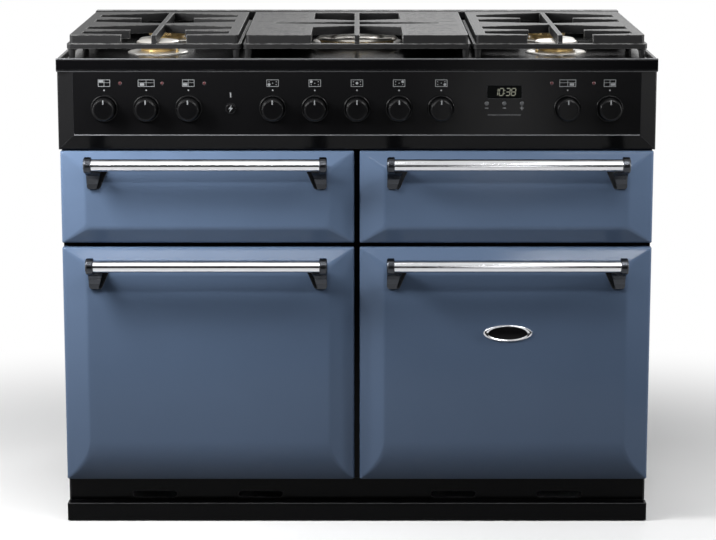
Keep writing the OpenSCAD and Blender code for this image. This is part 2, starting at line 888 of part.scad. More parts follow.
// A shelf ladder: two uprights against the wall, with a rung for each shelf position.
module ladder(sx) {
  r = ladder_wire / 2;
  x = sx * (oven_w / 2 - r - seat);
  rung_x = x - sx * (ladder_wire - 0.4);
  d0 = frame_back + 40;
  d1 = oven_back - fan_space - 30;
  for (d = [d0, d1])
    translate([x, d, rung_z(0) - 20])
      cylinder(r = r, h = rung_z(shelf_positions - 1) - rung_z(0) + 40);
  for (i = [0 : shelf_positions - 1])
    rod_y(rung_x, rung_z(i), r, d0 - 20, d1 + 20);
}

function rung_pitch() = (oven_h - 90) / (shelf_positions - 1);
function rung_z(i) = oven_z + 40 + i * rung_pitch();

module oven_racks() {
  color(chrome)
    for (sx = [-1, 1])
      translate([sx * front_x, 0, 0]) {
        for (side = [-1, 1])
          ladder(side);
        for (i = [1, 3])
          shelf(rung_z(i) + ladder_wire / 2 + shelf_wire / 2 + 0.5 + seat);
      }
}

// The cover over the oven fan: a dished plate with a round grille and side outlets.
module fan_covers() {
  color(black)
    for (sx = [-1, 1])
      translate([sx * front_x, 0, oven_mid_z])
        difference() {
          union() {
            plate(oven_back - fan_space, sheet)
              round_rect(oven_w - 40, oven_h - 40, 14);
            plate(oven_back - fan_space, fan_space - seat)
              difference() {
                round_rect(oven_w - 40, oven_h - 40, 14);
                round_rect(oven_w - 40 - 2 * sheet, oven_h - 40 - 2 * sheet, 12);
              }
          }
          for (ring = [1 : 3], i = [0 : 8 * ring - 1])
            plate(oven_back - fan_space - past, sheet + 2 * past)
              rotate(i * 360 / (8 * ring))
                translate([ring * 18, 0])
                  circle(d = 9, $fn = 24);
          for (side = [-1, 1], i = [-5 : 5])
            plate(oven_back - fan_space - past, sheet + 2 * past)
              translate([side * (oven_w / 2 - 60), i * 24])
                slot_2d(34, 8);
        }
}

// The impeller of an oven fan: hub, disc and straight blades on a shaft.
module oven_fan() {
  disc_d = oven_back - 14;
  blade_h = 16;
  color(grey)
    translate([0, 0, oven_mid_z]) {
      rod_y(0, 0, fan_d / 2, disc_d - 1.5, disc_d);
      rod_y(0, 0, 12, disc_d - blade_h, disc_d);
      rod_y(0, 0, 4, disc_d - eps, oven_back + 60);
      for (i = [0 : fan_blades - 1])
        rotate([0, i * 360 / fan_blades, 0])
          translate([11, disc_d - blade_h, -0.8])
            cube([fan_d / 2 - 13, blade_h - 1, 1.6]);
    }
}

// A fan motor behind the cavity: a mounting plate, a laminated core and its bearing tube.
module fan_motors() {
  color(grey)
    for (sx = [-1, 1])
      translate([sx * front_x, 0, oven_mid_z])
        difference() {
          union() {
            plate(oven_back + sheet, 2)
              round_rect(motor_w + 40, motor_h - 6, 8);
            rod_y(0, 0, 16, oven_back + sheet, oven_back + 62);
            plate(oven_back + 16, 26)
              round_rect(motor_w, motor_h, 4);
            rod_y(0, 0, motor_h / 2 - 2, oven_back + 12, oven_back + 48);
          }
          rod_y(0, 0, 4 + running, oven_back, oven_back + 70);
        }
}

// The ring element round each fan, and the looped grill element under its ceiling.
module heating_elements() {
  ring_r = element_ring_d / 2;
  color(grey) {
    for (sx = [-1, 1])
      translate([sx * front_x, 0, oven_mid_z]) {
        translate([0, oven_back - 18, 0])
          rotate([-90, 0, 0])
            rotate_extrude()
              translate([ring_r, 0])
                circle(d = element_d);
        for (side = [-1, 1])
          rod_y(side * 30, sqrt(ring_r * ring_r - 900), element_d / 2 - 0.6,
            oven_back - 17, oven_back + 20);
      }
    grill_element();
  }
}

// Half a ring of tube, its ends on X and its bend towards +Y.
module return_bend(r, d) {
  intersection() {
    rotate_extrude()
      translate([r, 0])
        circle(d = d);
    translate([-r - d, 0, -d])
      cube([2 * (r + d), r + d, 2 * d]);
  }
}

module grill_element() {
  z = grill_element_z();
  last = 2 * grill_loops - 1;
  d0 = frame_back + 70;
  d1 = upper_back - 60;
  x0 = -front_x - last * grill_pitch / 2;
  for (i = [0 : last])
    rod_y(x0 + i * grill_pitch, z, element_d / 2, d0, i == 0 || i == last ? upper_back + 20 : d1);
  for (i = [0 : last - 1])
    translate([x0 + (i + 0.5) * grill_pitch, i % 2 == 0 ? d0 : d1, z])
      rotate([0, 0, i % 2 == 0 ? 180 : 0])
        return_bend(grill_pitch / 2, element_d);
  // hangers up to the ceiling
  for (i = [0 : last])
    translate([x0 + i * grill_pitch, (d0 + d1) / 2, z])
      cylinder(d = 4, h = upper_z + upper_h - z - seat);
}

// The hob tray: a sheet top with a raised lip at its front and sides, and an apron.
module hob_tray() {
  half = width / 2;
  color(black)
    difference() {
      along_x(width)
        polygon([
          [2.5, fascia_top], [0, fascia_top + 2.5], [0, fascia_top + tray_h - 3],
          [0.9, fascia_top + tray_h - 0.9], [3, fascia_top + tray_h],
          [lip_w - 2, fascia_top + tray_h], [lip_w + lip_rise, hob_z],
          [depth, hob_z], [depth, fascia_top]
        ]);
      translate([-half + sheet, sheet + 1, fascia_top - past])
        cube([width - 2 * sheet, depth - 2 * sheet - 1, hob_z - fascia_top - sheet + past]);
      for (sx = [-1, 1], d = side_burner_depths)
        translate([sx * burner_x, d, fascia_top])
          cylinder(d = head_d + 6, h = tray_h);
      translate([0, wok_depth, fascia_top])
        cylinder(d = wok_head_d - 10, h = tray_h);
      for (sx = [-1, 1])
        translate([sx * front_x - flue_l / 2, vent_front + 30 - flue_w / 2, fascia_top])
          cube([flue_l, flue_w, tray_h]);
    }
  color(black)
    for (sx = [-1, 1])
      mirror([sx < 0 ? 1 : 0, 0, 0])
        translate([half - lip_w - lip_rise, lip_w, hob_z - eps])
          rotate([90, 0, 0])
            mirror([0, 0, 1])
              linear_extrude(depth - lip_w)
                polygon([
                  [0, 0], [lip_rise + 2, lip_rise + eps],
                  [lip_w + lip_rise - 2.5, lip_rise + eps],
                  [lip_w + lip_rise, lip_rise - 2], [lip_w + lip_rise, 0]
                ]);
}

// The flue vent behind the pan supports, with a row of outlet slots in its top.
module flue_vent() {
  half = width / 2 - lip_w - lip_rise - seat;
  top = hob_z + support_h;
  color(black)
    difference() {
      along_x(2 * half)
        polygon([
          [vent_front, hob_z], [vent_front + 4, top - 12], [vent_front + 12, top - 2],
          [vent_front + 18, top], [vent_front + vent_d - 2, top],
          [vent_front + vent_d, top - 2], [vent_front + vent_d, hob_z]
        ]);
      along_x(2 * half - 6)
        polygon([
          [vent_front + 3, hob_z - past], [vent_front + 7, top - 13],
          [vent_front + 14, top - 5], [vent_front + 19, top - 3],
          [vent_front + vent_d - 3, top - 3], [vent_front + vent_d - 3, hob_z - past]
        ]);
      for (i = [-10 : 10])
        translate([i * 48, vent_front + 30, top - 5])
          linear_extrude(8)
            slot_2d(38, 8);
    }
}

// The base of a side burner: a ring on the hob over a cup below it.
module side_burner_base() {
  r = base_d / 2;
  cup = head_d / 2 - 2;
  rotate_extrude()
    polygon([
      [14, hob_z - 34], [cup, hob_z - 34], [cup, hob_z], [r, hob_z], [r, hob_z + 1.5],
      [r - 3, hob_z + 3.2], [cup + 5, hob_z + 4], [cup - 4, hob_z + 4],
      [cup - 4, hob_z - 30], [14, hob_z - 30]
    ]);
  rotate_extrude()
    polygon([[3, hob_z - 46], [14.5, hob_z - 46], [14.5, hob_z - 14], [12, hob_z - 10], [3, hob_z - 22]]);
}

module wok_burner_base() {
  r = wok_base_d / 2;
  cup = wok_head_d / 2 - 7;
  rotate_extrude()
    polygon([
      [16, hob_z - 34], [cup, hob_z - 34], [cup, hob_z], [r - 4, hob_z], [r, hob_z + 6],
      [r - 1.5, hob_z + 8], [r - 4, hob_z + 7.4], [r - 8, hob_z + 3.5], [cup - 4, hob_z + 3.5],
      [cup - 4, hob_z - 30], [16, hob_z - 30]
    ]);
  // the pedestal under the inner head
  rotate_extrude()
    polygon([[20, hob_z - 30 - eps], [24, hob_z - 30 - eps], [24, hob_z + 3.5], [20, hob_z + 3.5]]);
  rotate_extrude()
    polygon([[3, hob_z - 46], [16.5, hob_z - 46], [16.5, hob_z - 14], [13, hob_z - 10], [3, hob_z - 22]]);
}

module at_side_burners() {
  for (sx = [-1, 1], d = side_burner_depths)
    translate([sx * burner_x, d, 0])
      children();
}

module burner_bases() {
  color(grey) {
    at_side_burners()
      side_burner_base();
    translate([0, wok_depth, 0])
      wok_burner_base();
  }
}

// A burner head: a crown with flame ports cut through its wall.
module crown(r, bore, z0, z1, ports, port_w) {
  difference() {
    rotate_extrude()
      polygon([
        [bore, z0], [r - 5, z0], [r - 4, z0 + 4], [r, z0 + 6], [r, z1], [r - 5, z1],
        [r - 6, z0 + 7], [bore, z0 + 5]
      ]);
    for (i = [0 : ports - 1])
      rotate(i * 360 / ports)
        translate([r - 9, -port_w / 2, z1 - 4])
          cube([12, port_w, 5]);
  }
}

module burner_heads() {
  z0 = hob_z + 4;
  color(brass) {
    at_side_burners()
      crown(head_d / 2, 16, z0, cap_top - 7, burner_ports, 2.4);
    translate([0, wok_depth, 0]) {
      wok_z0 = hob_z + 3.5;
      crown(wok_head_d / 2, wok_cap_d / 2 + 9, wok_z0, wok_cap_top - 5, 40, 2.4);
      crown(wok_cap_d / 2 - 6, 16, wok_z0, wok_cap_top - 5, 20, 2.4);
    }
  }
}

// A burner cap: a disc with a rounded edge, slightly domed, located by a rim below.
module cap_disc(r, z0, z1) {
  rotate_extrude()
    polygon([
      [0, z0], [r - 1.5, z0], [r, z0 + 1.5], [r, z0 + 3], [r - 1, z1 - 2.2],
      [r - 4, z1 - 0.8], [r * 0.55, z1 - 0.2], [0, z1]
    ]);
}

module burner_caps() {
  color(chrome) {
    at_side_burners()
      cap_disc(burner_cap_d / 2, cap_top - 7, cap_top);
    translate([0, wok_depth, 0]) {
      cap_disc(wok_cap_d / 2, wok_cap_top - 5, wok_cap_top + 1);
      rotate_extrude()
        polygon([
          [wok_cap_d / 2 + 8, wok_cap_top - 5], [wok_head_d / 2 + 2, wok_cap_top - 5],
          [wok_head_d / 2 + 3, wok_cap_top - 3.5], [wok_head_d / 2, wok_cap_top - 1],
          [wok_cap_d / 2 + 11, wok_cap_top - 1], [wok_cap_d / 2 + 8, wok_cap_top - 3]
        ]);
    }
  }
}

// One quarter of the opening round a burner, between a finger and the next bar.
// It runs from the spine out to the side rail and dir towards the back or the front,
// where it ends at end_v or, given open_v, goes on through the rail.
module burner_quarter(sx, dir, finger_w, rail_u, slot_w, end_v, open_v = 0) {
  s = spine_w / 2;
  points = concat(
    [[s, 0], [finger_tip, 0], [finger_tip, 6], [rail_u, finger_w / 2],
     [rail_u, finger_w / 2 + slot_w]],
    open_v > 0 ? [[front_gap, end_v], [front_gap, open_v], [s, open_v]] : [[s, end_v]]
  );
  well(sx, [for (p = points) [p[0], dir * p[1]]]);
}

// The low frame under a support, with its feet on the hob.
module support_frame(w) {
  outer_w = w + 2 * ledge_w;
  outer_l = support_l + 2 * ledge_w;
  rail = 16;
  translate([0, support_y, ledge_z])
    linear_extrude(ledge_h + eps)
      difference() {
        round_rect(outer_w, outer_l, 8);
        round_rect(outer_w - 2 * rail, outer_l - 2 * rail, 5);
      }
  for (sx = [-1, 1], sy = [-1, 0, 1])
    translate([sx * (outer_w / 2 - 9), support_y + sy * (outer_l / 2 - 9), hob_z + seat])
      cylinder(r1 = 5.5, r2 = 7, h = ledge_z - hob_z - seat + eps);
}

// The bar over the burners, its front and rear ends sloping down to the low frame.
module spine() {
  d0 = support_set_back - ledge_w + 1;
  d1 = support_set_back + support_l + ledge_w - 1;
  top = casting_z + casting_h;
  under = casting_z + 3;
  along_x(spine_w)
    polygon([
      [d0, ledge_z + 1], [d0, casting_z], [d0 + 26, top], [d1 - 26, top], [d1, casting_z],
      [d1, ledge_z + 1], [d1 - 14, ledge_z + 1], [d1 - 34, under], [d0 + 34, under],
      [d0 + 14, ledge_z + 1]
    ]);
}

// A side pan support: frame, spine, and a broad casting of tapered fingers round
// the front and the rear burner.
module side_support() {
  half = side_support_w / 2;
  rail_u = half - side_rail_w;
  front_v = front_burner_depth - support_set_back;
  rear_v = support_set_back + support_l - rear_burner_depth;
  mid_v = (rear_burner_depth - front_burner_depth) / 2;
  color(black) {
    support_frame(side_support_w);
    spine();
    translate([0, 0, casting_z])
      linear_extrude(casting_h)
        difference() {
          translate([0, support_y])
            round_rect(side_support_w, support_l, 7);
          translate([0, front_burner_depth])
            for (sx = [-1, 1]) {
              burner_quarter(sx, -1, front_finger_w, rail_u, 46, front_v - 12, front_v + past);
              burner_quarter(sx, 1, front_finger_w, rail_u, 46, mid_v - 13);
            }
          translate([0, rear_burner_depth])
            for (sx = [-1, 1]) {
              burner_quarter(sx, -1, rear_finger_w, rail_u, 46, mid_v - 13);
              burner_quarter(sx, 1, rear_finger_w, rail_u, 40, rear_v - 16);
            }
        }
  }
}

module well(sx, points) {
  polygon([for (p = points) [sx * p[0], p[1]]]);
}

// The middle support: ribbed decks left and right, joined by pairs of fingers over
// the wok burner, and the same spine.
module mid_support() {
  half = mid_support_w / 2;
  s = spine_w / 2;
  deck_rim = 11;
  groove_l = half - wok_well - 2 * deck_rim;
  front_v = wok_depth - support_set_back;
  rear_v = support_set_back + support_l - wok_depth;
  rib_pitch = 30;
  rib_count = floor((support_l - 40) / rib_pitch);
  color(black) {
    support_frame(mid_support_w);
    spine();
    difference() {
      translate([0, 0, casting_z])
        linear_extrude(casting_h)
          difference() {
            translate([0, support_y])
              round_rect(mid_support_w, support_l, 7);
            translate([0, wok_depth])
              for (sx = [-1, 1]) {
                well(sx, [[s, -54], [wok_well, -82], [wok_well, -front_v - past],
                  [s, -front_v - past]]);
                well(sx, [[s, -28], [half - 46, -5], [half - 46, 5], [s, 28]]);
                well(sx, [[s, 54], [wok_well, 82], [wok_well, rear_v - 22], [s, rear_v - 22]]);
              }
          }
      // shallow grooves between the ribs of the decks
      for (sx = [-1, 1], i = [0 : rib_count])
        let (d = support_y + (i - rib_count / 2) * rib_pitch)
          if (abs(d - wok_depth) > 14)
            translate([sx * (wok_well + half) / 2 - groove_l / 2, d - 1.5,
                casting_z + casting_h - 1.6])
              cube([groove_l, 3, 4]);
    }
  }
}

// The control fascia: a pressed face with sloped ends and foot, open at its back.
module control_fascia() {
  back = frame_set_back;
  color(black)
    difference() {
      fascia_form(0, back);
      fascia_form(fascia_t, back + past);
      for (n = knob_slots)
        rod_y(n * knob_pitch, knob_z, spindle_d / 2 + 2, -past, 10);
      rod_y(ignition_slot * knob_pitch, knob_z, ignition_d / 2 + free_gap / 2, -past, 10);
      plate(-past, 10)
        translate([clock_x, fascia_z + clock_rise])
          round_rect(clock_w, clock_h, 2.5);
      for (i = [-1 : 1])
        rod_y(clock_x + i * clock_button_pitch, clock_button_z(), clock_button_d / 2 + free_gap / 2,
          -past, 10);
      for (x = neon_xs)
        rod_y(x, neon_z, neon_d / 2, -past, 10);
    }
}

function clock_button_z() = fascia_z + clock_rise - 21;

module fascia_form(t, back) {
  end_points = concat(rim_points(fascia_end, fascia_rise, 4, t), [[fascia_end, t]]);
  foot_points = concat(rim_points(fascia_foot, fascia_rise, 4, t), [[fascia_foot, t]]);
  translate([0, 0, fascia_z])
    intersection() {
      translate([-width / 2, 0, 0])
        linear_extrude(fascia_h)
          polygon(concat([[t, back]], end_points, flipped(end_points, width), [[width - t, back]]));
      along_x(width)
        polygon(swapped(concat([[t, back]], foot_points, [[fascia_h - t, t], [fascia_h - t, back]])));
    }
}

// A knob with the spindle that it turns.
module knob(n) {
  r = knob_d / 2;
  color(black) {
    turned_y(n * knob_pitch, knob_z)
      polygon([
        [0, -knob_out], [r - 5, -knob_out], [r - 2.5, -knob_out + 0.8],
        [r - 1, -knob_out + 3], [r - 0.4, -12], [r, -4], [r, -1], [spindle_d / 2, -1],
        [spindle_d / 2, spindle_end], [0, spindle_end]
      ]);
    // the raised pointer on the knob's face
    translate([n * knob_pitch - 1.1, -knob_out - 0.7, knob_z + r - 11])
      cube([2.2, 1.2, 8]);
  }
}

// The bezels: a ring on the fascia round each knob.
module knob_bezels() {
  color(black)
    for (n = knob_slots)
      turned_y(n * knob_pitch, knob_z)
        polygon([
          [knob_d / 2 + free_gap, 0], [bezel_d / 2, 0], [bezel_d / 2, -bezel_out + 2],
          [bezel_d / 2 - 1, -bezel_out + 0.5], [bezel_d / 2 - 2.4, -bezel_out],
          [knob_d / 2 + free_gap, -bezel_out + 1]
        ]);
}

// Gas rail with a tap at each hob knob, and a rotary switch at each oven knob, all
// carried by a bracket strip on the back of the frame.
module taps_and_switches() {
  color(grey)
    difference() {
      union() {
        rod_x(tap_front + tap_l - 6, knob_z - 22, 9, -3.2 * knob_pitch, 3.2 * knob_pitch);
        for (n = gas_slots) {
          turned_y(n * knob_pitch, knob_z)
            polygon([
              [0, tap_front], [9, tap_front], [11, tap_front + 8], [13, tap_front + 12],
              [13, tap_front + tap_l], [0, tap_front + tap_l]
            ]);
          translate([n * knob_pitch, tap_front + tap_l - 6, knob_z - 24])
            cylinder(r = 8, h = 20);
        }
        for (n = oven_slots) {
          rod_y(n * knob_pitch, knob_z, 8, tap_front, tap_front + 8);
          translate([n * knob_pitch - 18, tap_front + 6, knob_z - 20])
            cube([36, tap_l - 6, 40]);
        }
        translate([ignition_slot * knob_pitch - 11, ignition_switch_d, knob_z - 11])
          cube([22, frame_back + 7 - ignition_switch_d, 22]);
        // the strip that carries them
        for (sz = [-1, 1])
          plate(frame_back, sheet)
            translate([0, knob_z + sz * (window_h / 2 + 3)])
              square([window_w + 20, 14], center = true);
        for (n = concat(gas_slots, oven_slots, [ignition_slot]))
          plate(frame_back, sheet)
            translate([n * knob_pitch, knob_z])
              square([20, window_h + 8], center = true);
        for (n = concat(gas_slots, oven_slots))
          rod_y(n * knob_pitch, knob_z, 8, frame_back, tap_front + eps);
      }
      for (n = knob_slots)
        rod_y(n * knob_pitch, knob_z, spindle_d / 2 + running, frame_set_back - 4,
          spindle_end + free_gap);
    }
}

module ignition_button() {
  r = ignition_d / 2;
  color(black)
    turned_y(ignition_slot * knob_pitch, knob_z)
      polygon([
        [0, -4], [r - 2, -4], [r - 0.6, -3.4], [r, -2], [r, fascia_t + seat],
        [r + 2, fascia_t + seat], [r + 2, fascia_t + seat + 2], [3, fascia_t + seat + 2],
        [3, ignition_switch_d - free_gap - ignition_travel],
        [0, ignition_switch_d - free_gap - ignition_travel]
      ]);
}

module neon_lenses() {
  color([0.4, 0.03, 0.03])
    for (x = neon_xs)
      turned_y(x, neon_z)
        polygon([
          [0, -1.2], [neon_d / 2 - 1.2, -1], [neon_d / 2 - 0.2, 0], [neon_d / 2 - 0.2, fascia_t],
          [neon_d / 2 + 1.5, fascia_t], [neon_d / 2 + 1.5, fascia_t + 3], [2, fascia_t + 3],
          [2, fascia_t + 14], [0, fascia_t + 14]
        ]);
}

// The clock: a window flush with the fascia and its housing behind it.
module clock_module() {
  z = fascia_z + clock_rise;
  button_z = clock_button_z();
  body_w = clock_w + 16;
  color([0.08, 0.1, 0.1]) {
    plate(-0.4, fascia_t + 0.4 + eps)
      translate([clock_x, z])
        round_rect(clock_w - seat, clock_h - seat, 2.4);
    translate([clock_x - body_w / 2, fascia_t, z - clock_h / 2 - 2])
      cube([body_w, 30, clock_h + 4]);
    translate([clock_x - body_w / 2, clock_back(), button_z - 8])
      cube([body_w, fascia_t + 30 - clock_back(), z - button_z]);
  }
}

function clock_back() = fascia_t + seat + 3.2 + clock_travel + seat;

module clock_button(i) {
  r = clock_button_d / 2;
  color(grey)
    turned_y(clock_x + i * clock_button_pitch, clock_button_z())
      polygon([
        [0, -1.6], [r - 0.8, -1.5], [r, -0.8], [r, fascia_t + seat], [r + 1.4, fascia_t + seat],
        [r + 1.4, fascia_t + seat + 1.5], [2, fascia_t + seat + 1.5],
        [2, fascia_t + seat + 3.2], [0, fascia_t + seat + 3.2]
      ]);
}

// The grill and drawer fronts share one pressed skin.
module upper_front(sx) {
  color(blue)
    translate([sx * front_x, 0, drawer_z])
      front_skin(drawer_h, drawer_foot_bevel, false);
}

module upper_inner(sx) {
  translate([sx * front_x, 0, drawer_z])
    inner_panel(drawer_h);
  translate([sx * front_x, 0, 0])
    for (side = [-1, 1])
      runner_slide(side);
}

// The glide-out grill's carrier: inner panel, slides and the open frame for the pan.
module grill_carrier() {
  color(grey) {
    upper_inner(-1);
    translate([-front_x, 0, runner_mid_z - carrier_t / 2])
      difference() {
        translate([-box_w / 2 - eps, front_t - eps, 0])
          cube([box_w + 2 * eps, carrier_back - front_t, carrier_t]);
        translate([-box_w / 2 + pan_rail_w, pan_front - pan_gap, -past])
          cube([box_w - 2 * pan_rail_w, pan_l + 2 * pan_gap, carrier_t + 2 * past]);
      }
  }
}

// The grill pan hangs in the carrier by its rolled rim.
module grill_pan() {
  color(black)
    translate([-front_x, pan_front + pan_l / 2, 0])
      difference() {
        union() {
          translate([0, 0, pan_z])
            linear_extrude(pan_h)
              round_rect(pan_w, pan_l, 16);
          translate([0, 0, pan_top + seat])
            linear_extrude(2)
              round_rect(pan_w + 20, pan_l + 20, 20);
        }
        translate([0, 0, pan_floor])
          linear_extrude(pan_h + 4)
            round_rect(pan_w - 2 * sheet, pan_l - 2 * sheet, 14);
      }
}

// The wire rack that stands in the grill pan on four short legs.
module grill_rack() {
  side_gap = sheet + 6;
  w = pan_w - 2 * side_gap;
  d0 = pan_front + side_gap;
  d1 = pan_front + pan_l - side_gap;
  z = pan_floor + rack_rise;
  r = rack_wire / 2;
  wires = 12;
  color(chrome)
    translate([-front_x, 0, 0]) {
      for (sx = [-1, 1])
        rod_y(sx * (w / 2 - r), z, r, d0, d1);
      for (d = [d0 + r, d1 - r])
        rod_x(d, z, r, -w / 2 + r, w / 2 - r);
      for (i = [1 : wires])
        rod_y(-w / 2 + i * w / (wires + 1), z + 1, 1.6, d0 + r, d1 - r);
      for (sx = [-1, 1], d = [d0 + 24, d1 - 24])
        translate([sx * (w / 2 - r), d, pan_floor + seat])
          cylinder(r = 2, h = z - pan_floor - seat);
    }
}

// The warming drawer's box, with its inner panel and slides.
module drawer_box() {
  color(grey) {
    upper_inner(1);
    translate([front_x, 0, upper_z + 8])
      difference() {
        translate([-box_w / 2 - eps, front_t - eps, 0])
          cube([box_w + 2 * eps, slide_back - front_t, box_h]);
        translate([-box_w / 2 + sheet, front_t - past, sheet])
          cube([box_w - 2 * sheet, slide_back - front_t - sheet + past, box_h]);
      }
  }
}

placed() base_chassis();
placed() levelling_feet();
placed() side_panels();
placed() back_panel();
placed() front_frame();
placed() plinth();
placed() translate([-front_x, 0, 0]) oven_liner();  // left_oven_liner
placed() translate([front_x, 0, 0]) oven_liner();  // right_oven_liner
placed() translate([-front_x, 0, 0]) grill_housing();
placed() translate([front_x, 0, 0]) upper_housing();  // drawer_housing
placed() oven_seals();
placed() hinge_brackets();
placed() oven_racks();
placed() fan_covers();
placed() fan_motors();
placed() heating_elements();
placed() hob_tray();
placed() flue_vent();
placed() burner_bases();
placed() burner_heads();
placed() burner_caps();
placed() taps_and_switches();
placed() control_fascia();
placed() knob_bezels();
placed() neon_lenses();
placed() clock_module();
placed() knob(knob_slots[0]);  // knob_1
placed() knob(knob_slots[1]);  // knob_2
placed() knob(knob_slots[2]);  // knob_3
placed() knob(knob_slots[3]);  // knob_4
placed() knob(knob_slots[4]);  // knob_5
placed() knob(knob_slots[5]);  // knob_6
placed() knob(knob_slots[6]);  // knob_7
placed() knob(knob_slots[7]);  // knob_8
placed() knob(knob_slots[8]);  // knob_9
placed() knob(knob_slots[9]);  // knob_10
placed() ignition_button();
placed() clock_button(-1);  // clock_button_left
placed() clock_button(0);  // clock_button_middle
placed() clock_button(1);  // clock_button_right
placed() translate([-front_x, 0, 0]) oven_fan();  // left_fan
placed() translate([front_x, 0, 0]) oven_fan();  // right_fan
placed() rear_rollers();
placed() translate([-burner_x, 0, 0]) side_support();  // pan_support_left
placed() mid_support();  // pan_support_middle
placed() translate([burner_x, 0, 0]) side_support();  // pan_support_right
placed() translate([-front_x, 0, 0]) door_skin();  // left_door_skin
placed() translate([-front_x, 0, 0]) door_liner();  // left_door_liner
placed() translate([-front_x, 0, 0]) handle(door_top - door_bar_drop);  // left_door_handle
placed() translate([front_x, 0, 0]) door_skin();  // right_door_skin
placed() translate([front_x, 0, 0]) door_liner();  // right_door_liner
placed() translate([front_x, 0, 0]) handle(door_top - door_bar_drop);  // right_door_handle
placed() upper_front(-1);  // grill_front
placed() grill_carrier();
placed() grill_pan();
placed() grill_rack();
placed() translate([-front_x, 0, 0]) handle(drawer_top - drawer_bar_drop);  // grill_handle
placed() upper_front(1);  // drawer_front
placed() drawer_box();
placed() translate([front_x, 0, 0]) handle(drawer_top - drawer_bar_drop);  // drawer_handle
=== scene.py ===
"""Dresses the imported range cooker: smooth enamelled fronts, prints, burner fittings, finishes,
a pale studio and the camera. Sizes are in millimetres in the cooker's own axes, which are x,
the depth behind the fascia's face, and the height; at() turns them into the frame's metres."""

import logging
import math
from collections.abc import Callable, Sequence
from dataclasses import dataclass, field
from enum import Enum

import bmesh
import bpy
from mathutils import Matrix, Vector

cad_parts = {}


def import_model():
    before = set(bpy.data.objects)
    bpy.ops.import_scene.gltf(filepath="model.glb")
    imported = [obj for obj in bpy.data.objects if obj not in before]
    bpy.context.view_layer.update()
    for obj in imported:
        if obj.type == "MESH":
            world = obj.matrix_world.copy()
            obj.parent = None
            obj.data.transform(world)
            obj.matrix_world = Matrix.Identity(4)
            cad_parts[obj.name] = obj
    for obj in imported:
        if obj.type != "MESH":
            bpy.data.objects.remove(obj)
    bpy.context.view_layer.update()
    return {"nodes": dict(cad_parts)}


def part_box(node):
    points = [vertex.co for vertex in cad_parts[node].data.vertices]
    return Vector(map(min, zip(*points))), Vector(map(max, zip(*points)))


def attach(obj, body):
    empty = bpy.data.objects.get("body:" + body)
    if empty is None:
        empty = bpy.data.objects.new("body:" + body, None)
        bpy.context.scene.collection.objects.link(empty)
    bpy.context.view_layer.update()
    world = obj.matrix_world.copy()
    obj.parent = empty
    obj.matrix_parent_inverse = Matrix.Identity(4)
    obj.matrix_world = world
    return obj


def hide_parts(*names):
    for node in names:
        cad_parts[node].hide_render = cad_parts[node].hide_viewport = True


LOG = logging.getLogger("range_cooker")
SHARP_BEND = math.radians(32)
FACE_Y = -273.5
BODY = "cooker_body"


def at(x: float, depth: float, z: float) -> Vector:
    """Turns a place in millimetres, with its depth behind the fascia's face, to metres."""
    return Vector((x, depth + FACE_Y, z)) / 1000


def linear(red: int, green: int, blue: int) -> tuple[float, float, float, float]:
    """Turns a colour as a screen shows it, 0 to 255, into the linear colour of a shader."""
    shares = (v / 255 for v in (red, green, blue))
    return (*(s / 12.92 if s <= 0.04045 else ((s + 0.055) / 1.055) ** 2.4 for s in shares), 1.0)


def scaled(colour: Sequence[float], share: float) -> tuple[float, ...]:
    """Makes a linear colour darker or paler by a share."""
    return (*(min(1.0, share * part) for part in colour[:3]), 1.0)


# Shader maths


class Signal:
    """The output of a shader node, with a number's arithmetic."""

    def __init__(self, shader: "Shader", socket: bpy.types.NodeSocket | None) -> None:
        """Wraps the socket of a node in this shader's tree."""
        self.shader = shader
        self.socket = socket

    def _math(self, operation: str, *values: "Signal | float") -> "Signal":
        """Adds a Math node on these values."""
        return self.shader.node(
            "ShaderNodeMath", {"operation": operation}, dict(enumerate(values))
        )

    def __add__(self, other: "Signal | float") -> "Signal":
        """Adds a value."""
        return self._math("ADD", self, other)

    def __radd__(self, other: float) -> "Signal":
        """Adds this to a number."""
        return self._math("ADD", other, self)

    def __sub__(self, other: "Signal | float") -> "Signal":
        """Takes a value away."""
        return self._math("SUBTRACT", self, other)

    def __rsub__(self, other: float) -> "Signal":
        """Takes this away from a number."""
        return self._math("SUBTRACT", other, self)

    def __mul__(self, other: "Signal | float") -> "Signal":
        """Multiplies by a value."""
        return self._math("MULTIPLY", self, other)

    def __rmul__(self, other: float) -> "Signal":
        """Multiplies a number by this."""
        return self._math("MULTIPLY", other, self)

    def __pow__(self, other: float) -> "Signal":
        """Raises to a power."""
        return self._math("POWER", self, other)

    def larger(self, other: "Signal | float") -> "Signal":
        """Gives the larger of this and another value."""
        return self._math("MAXIMUM", self, other)

    def absolute(self) -> "Signal":
        """Gives the size of this without its sign."""
        return self._math("ABSOLUTE", self)

    def step(self, low: float, high: float) -> "Signal":
        """Rises smoothly from 0 to 1 as this goes from low to high."""
        return self.shader.node(
            "ShaderNodeMapRange",
            {"interpolation_type": "SMOOTHSTEP"},
            {"Value": self, "From Min": low, "From Max": high},
        )


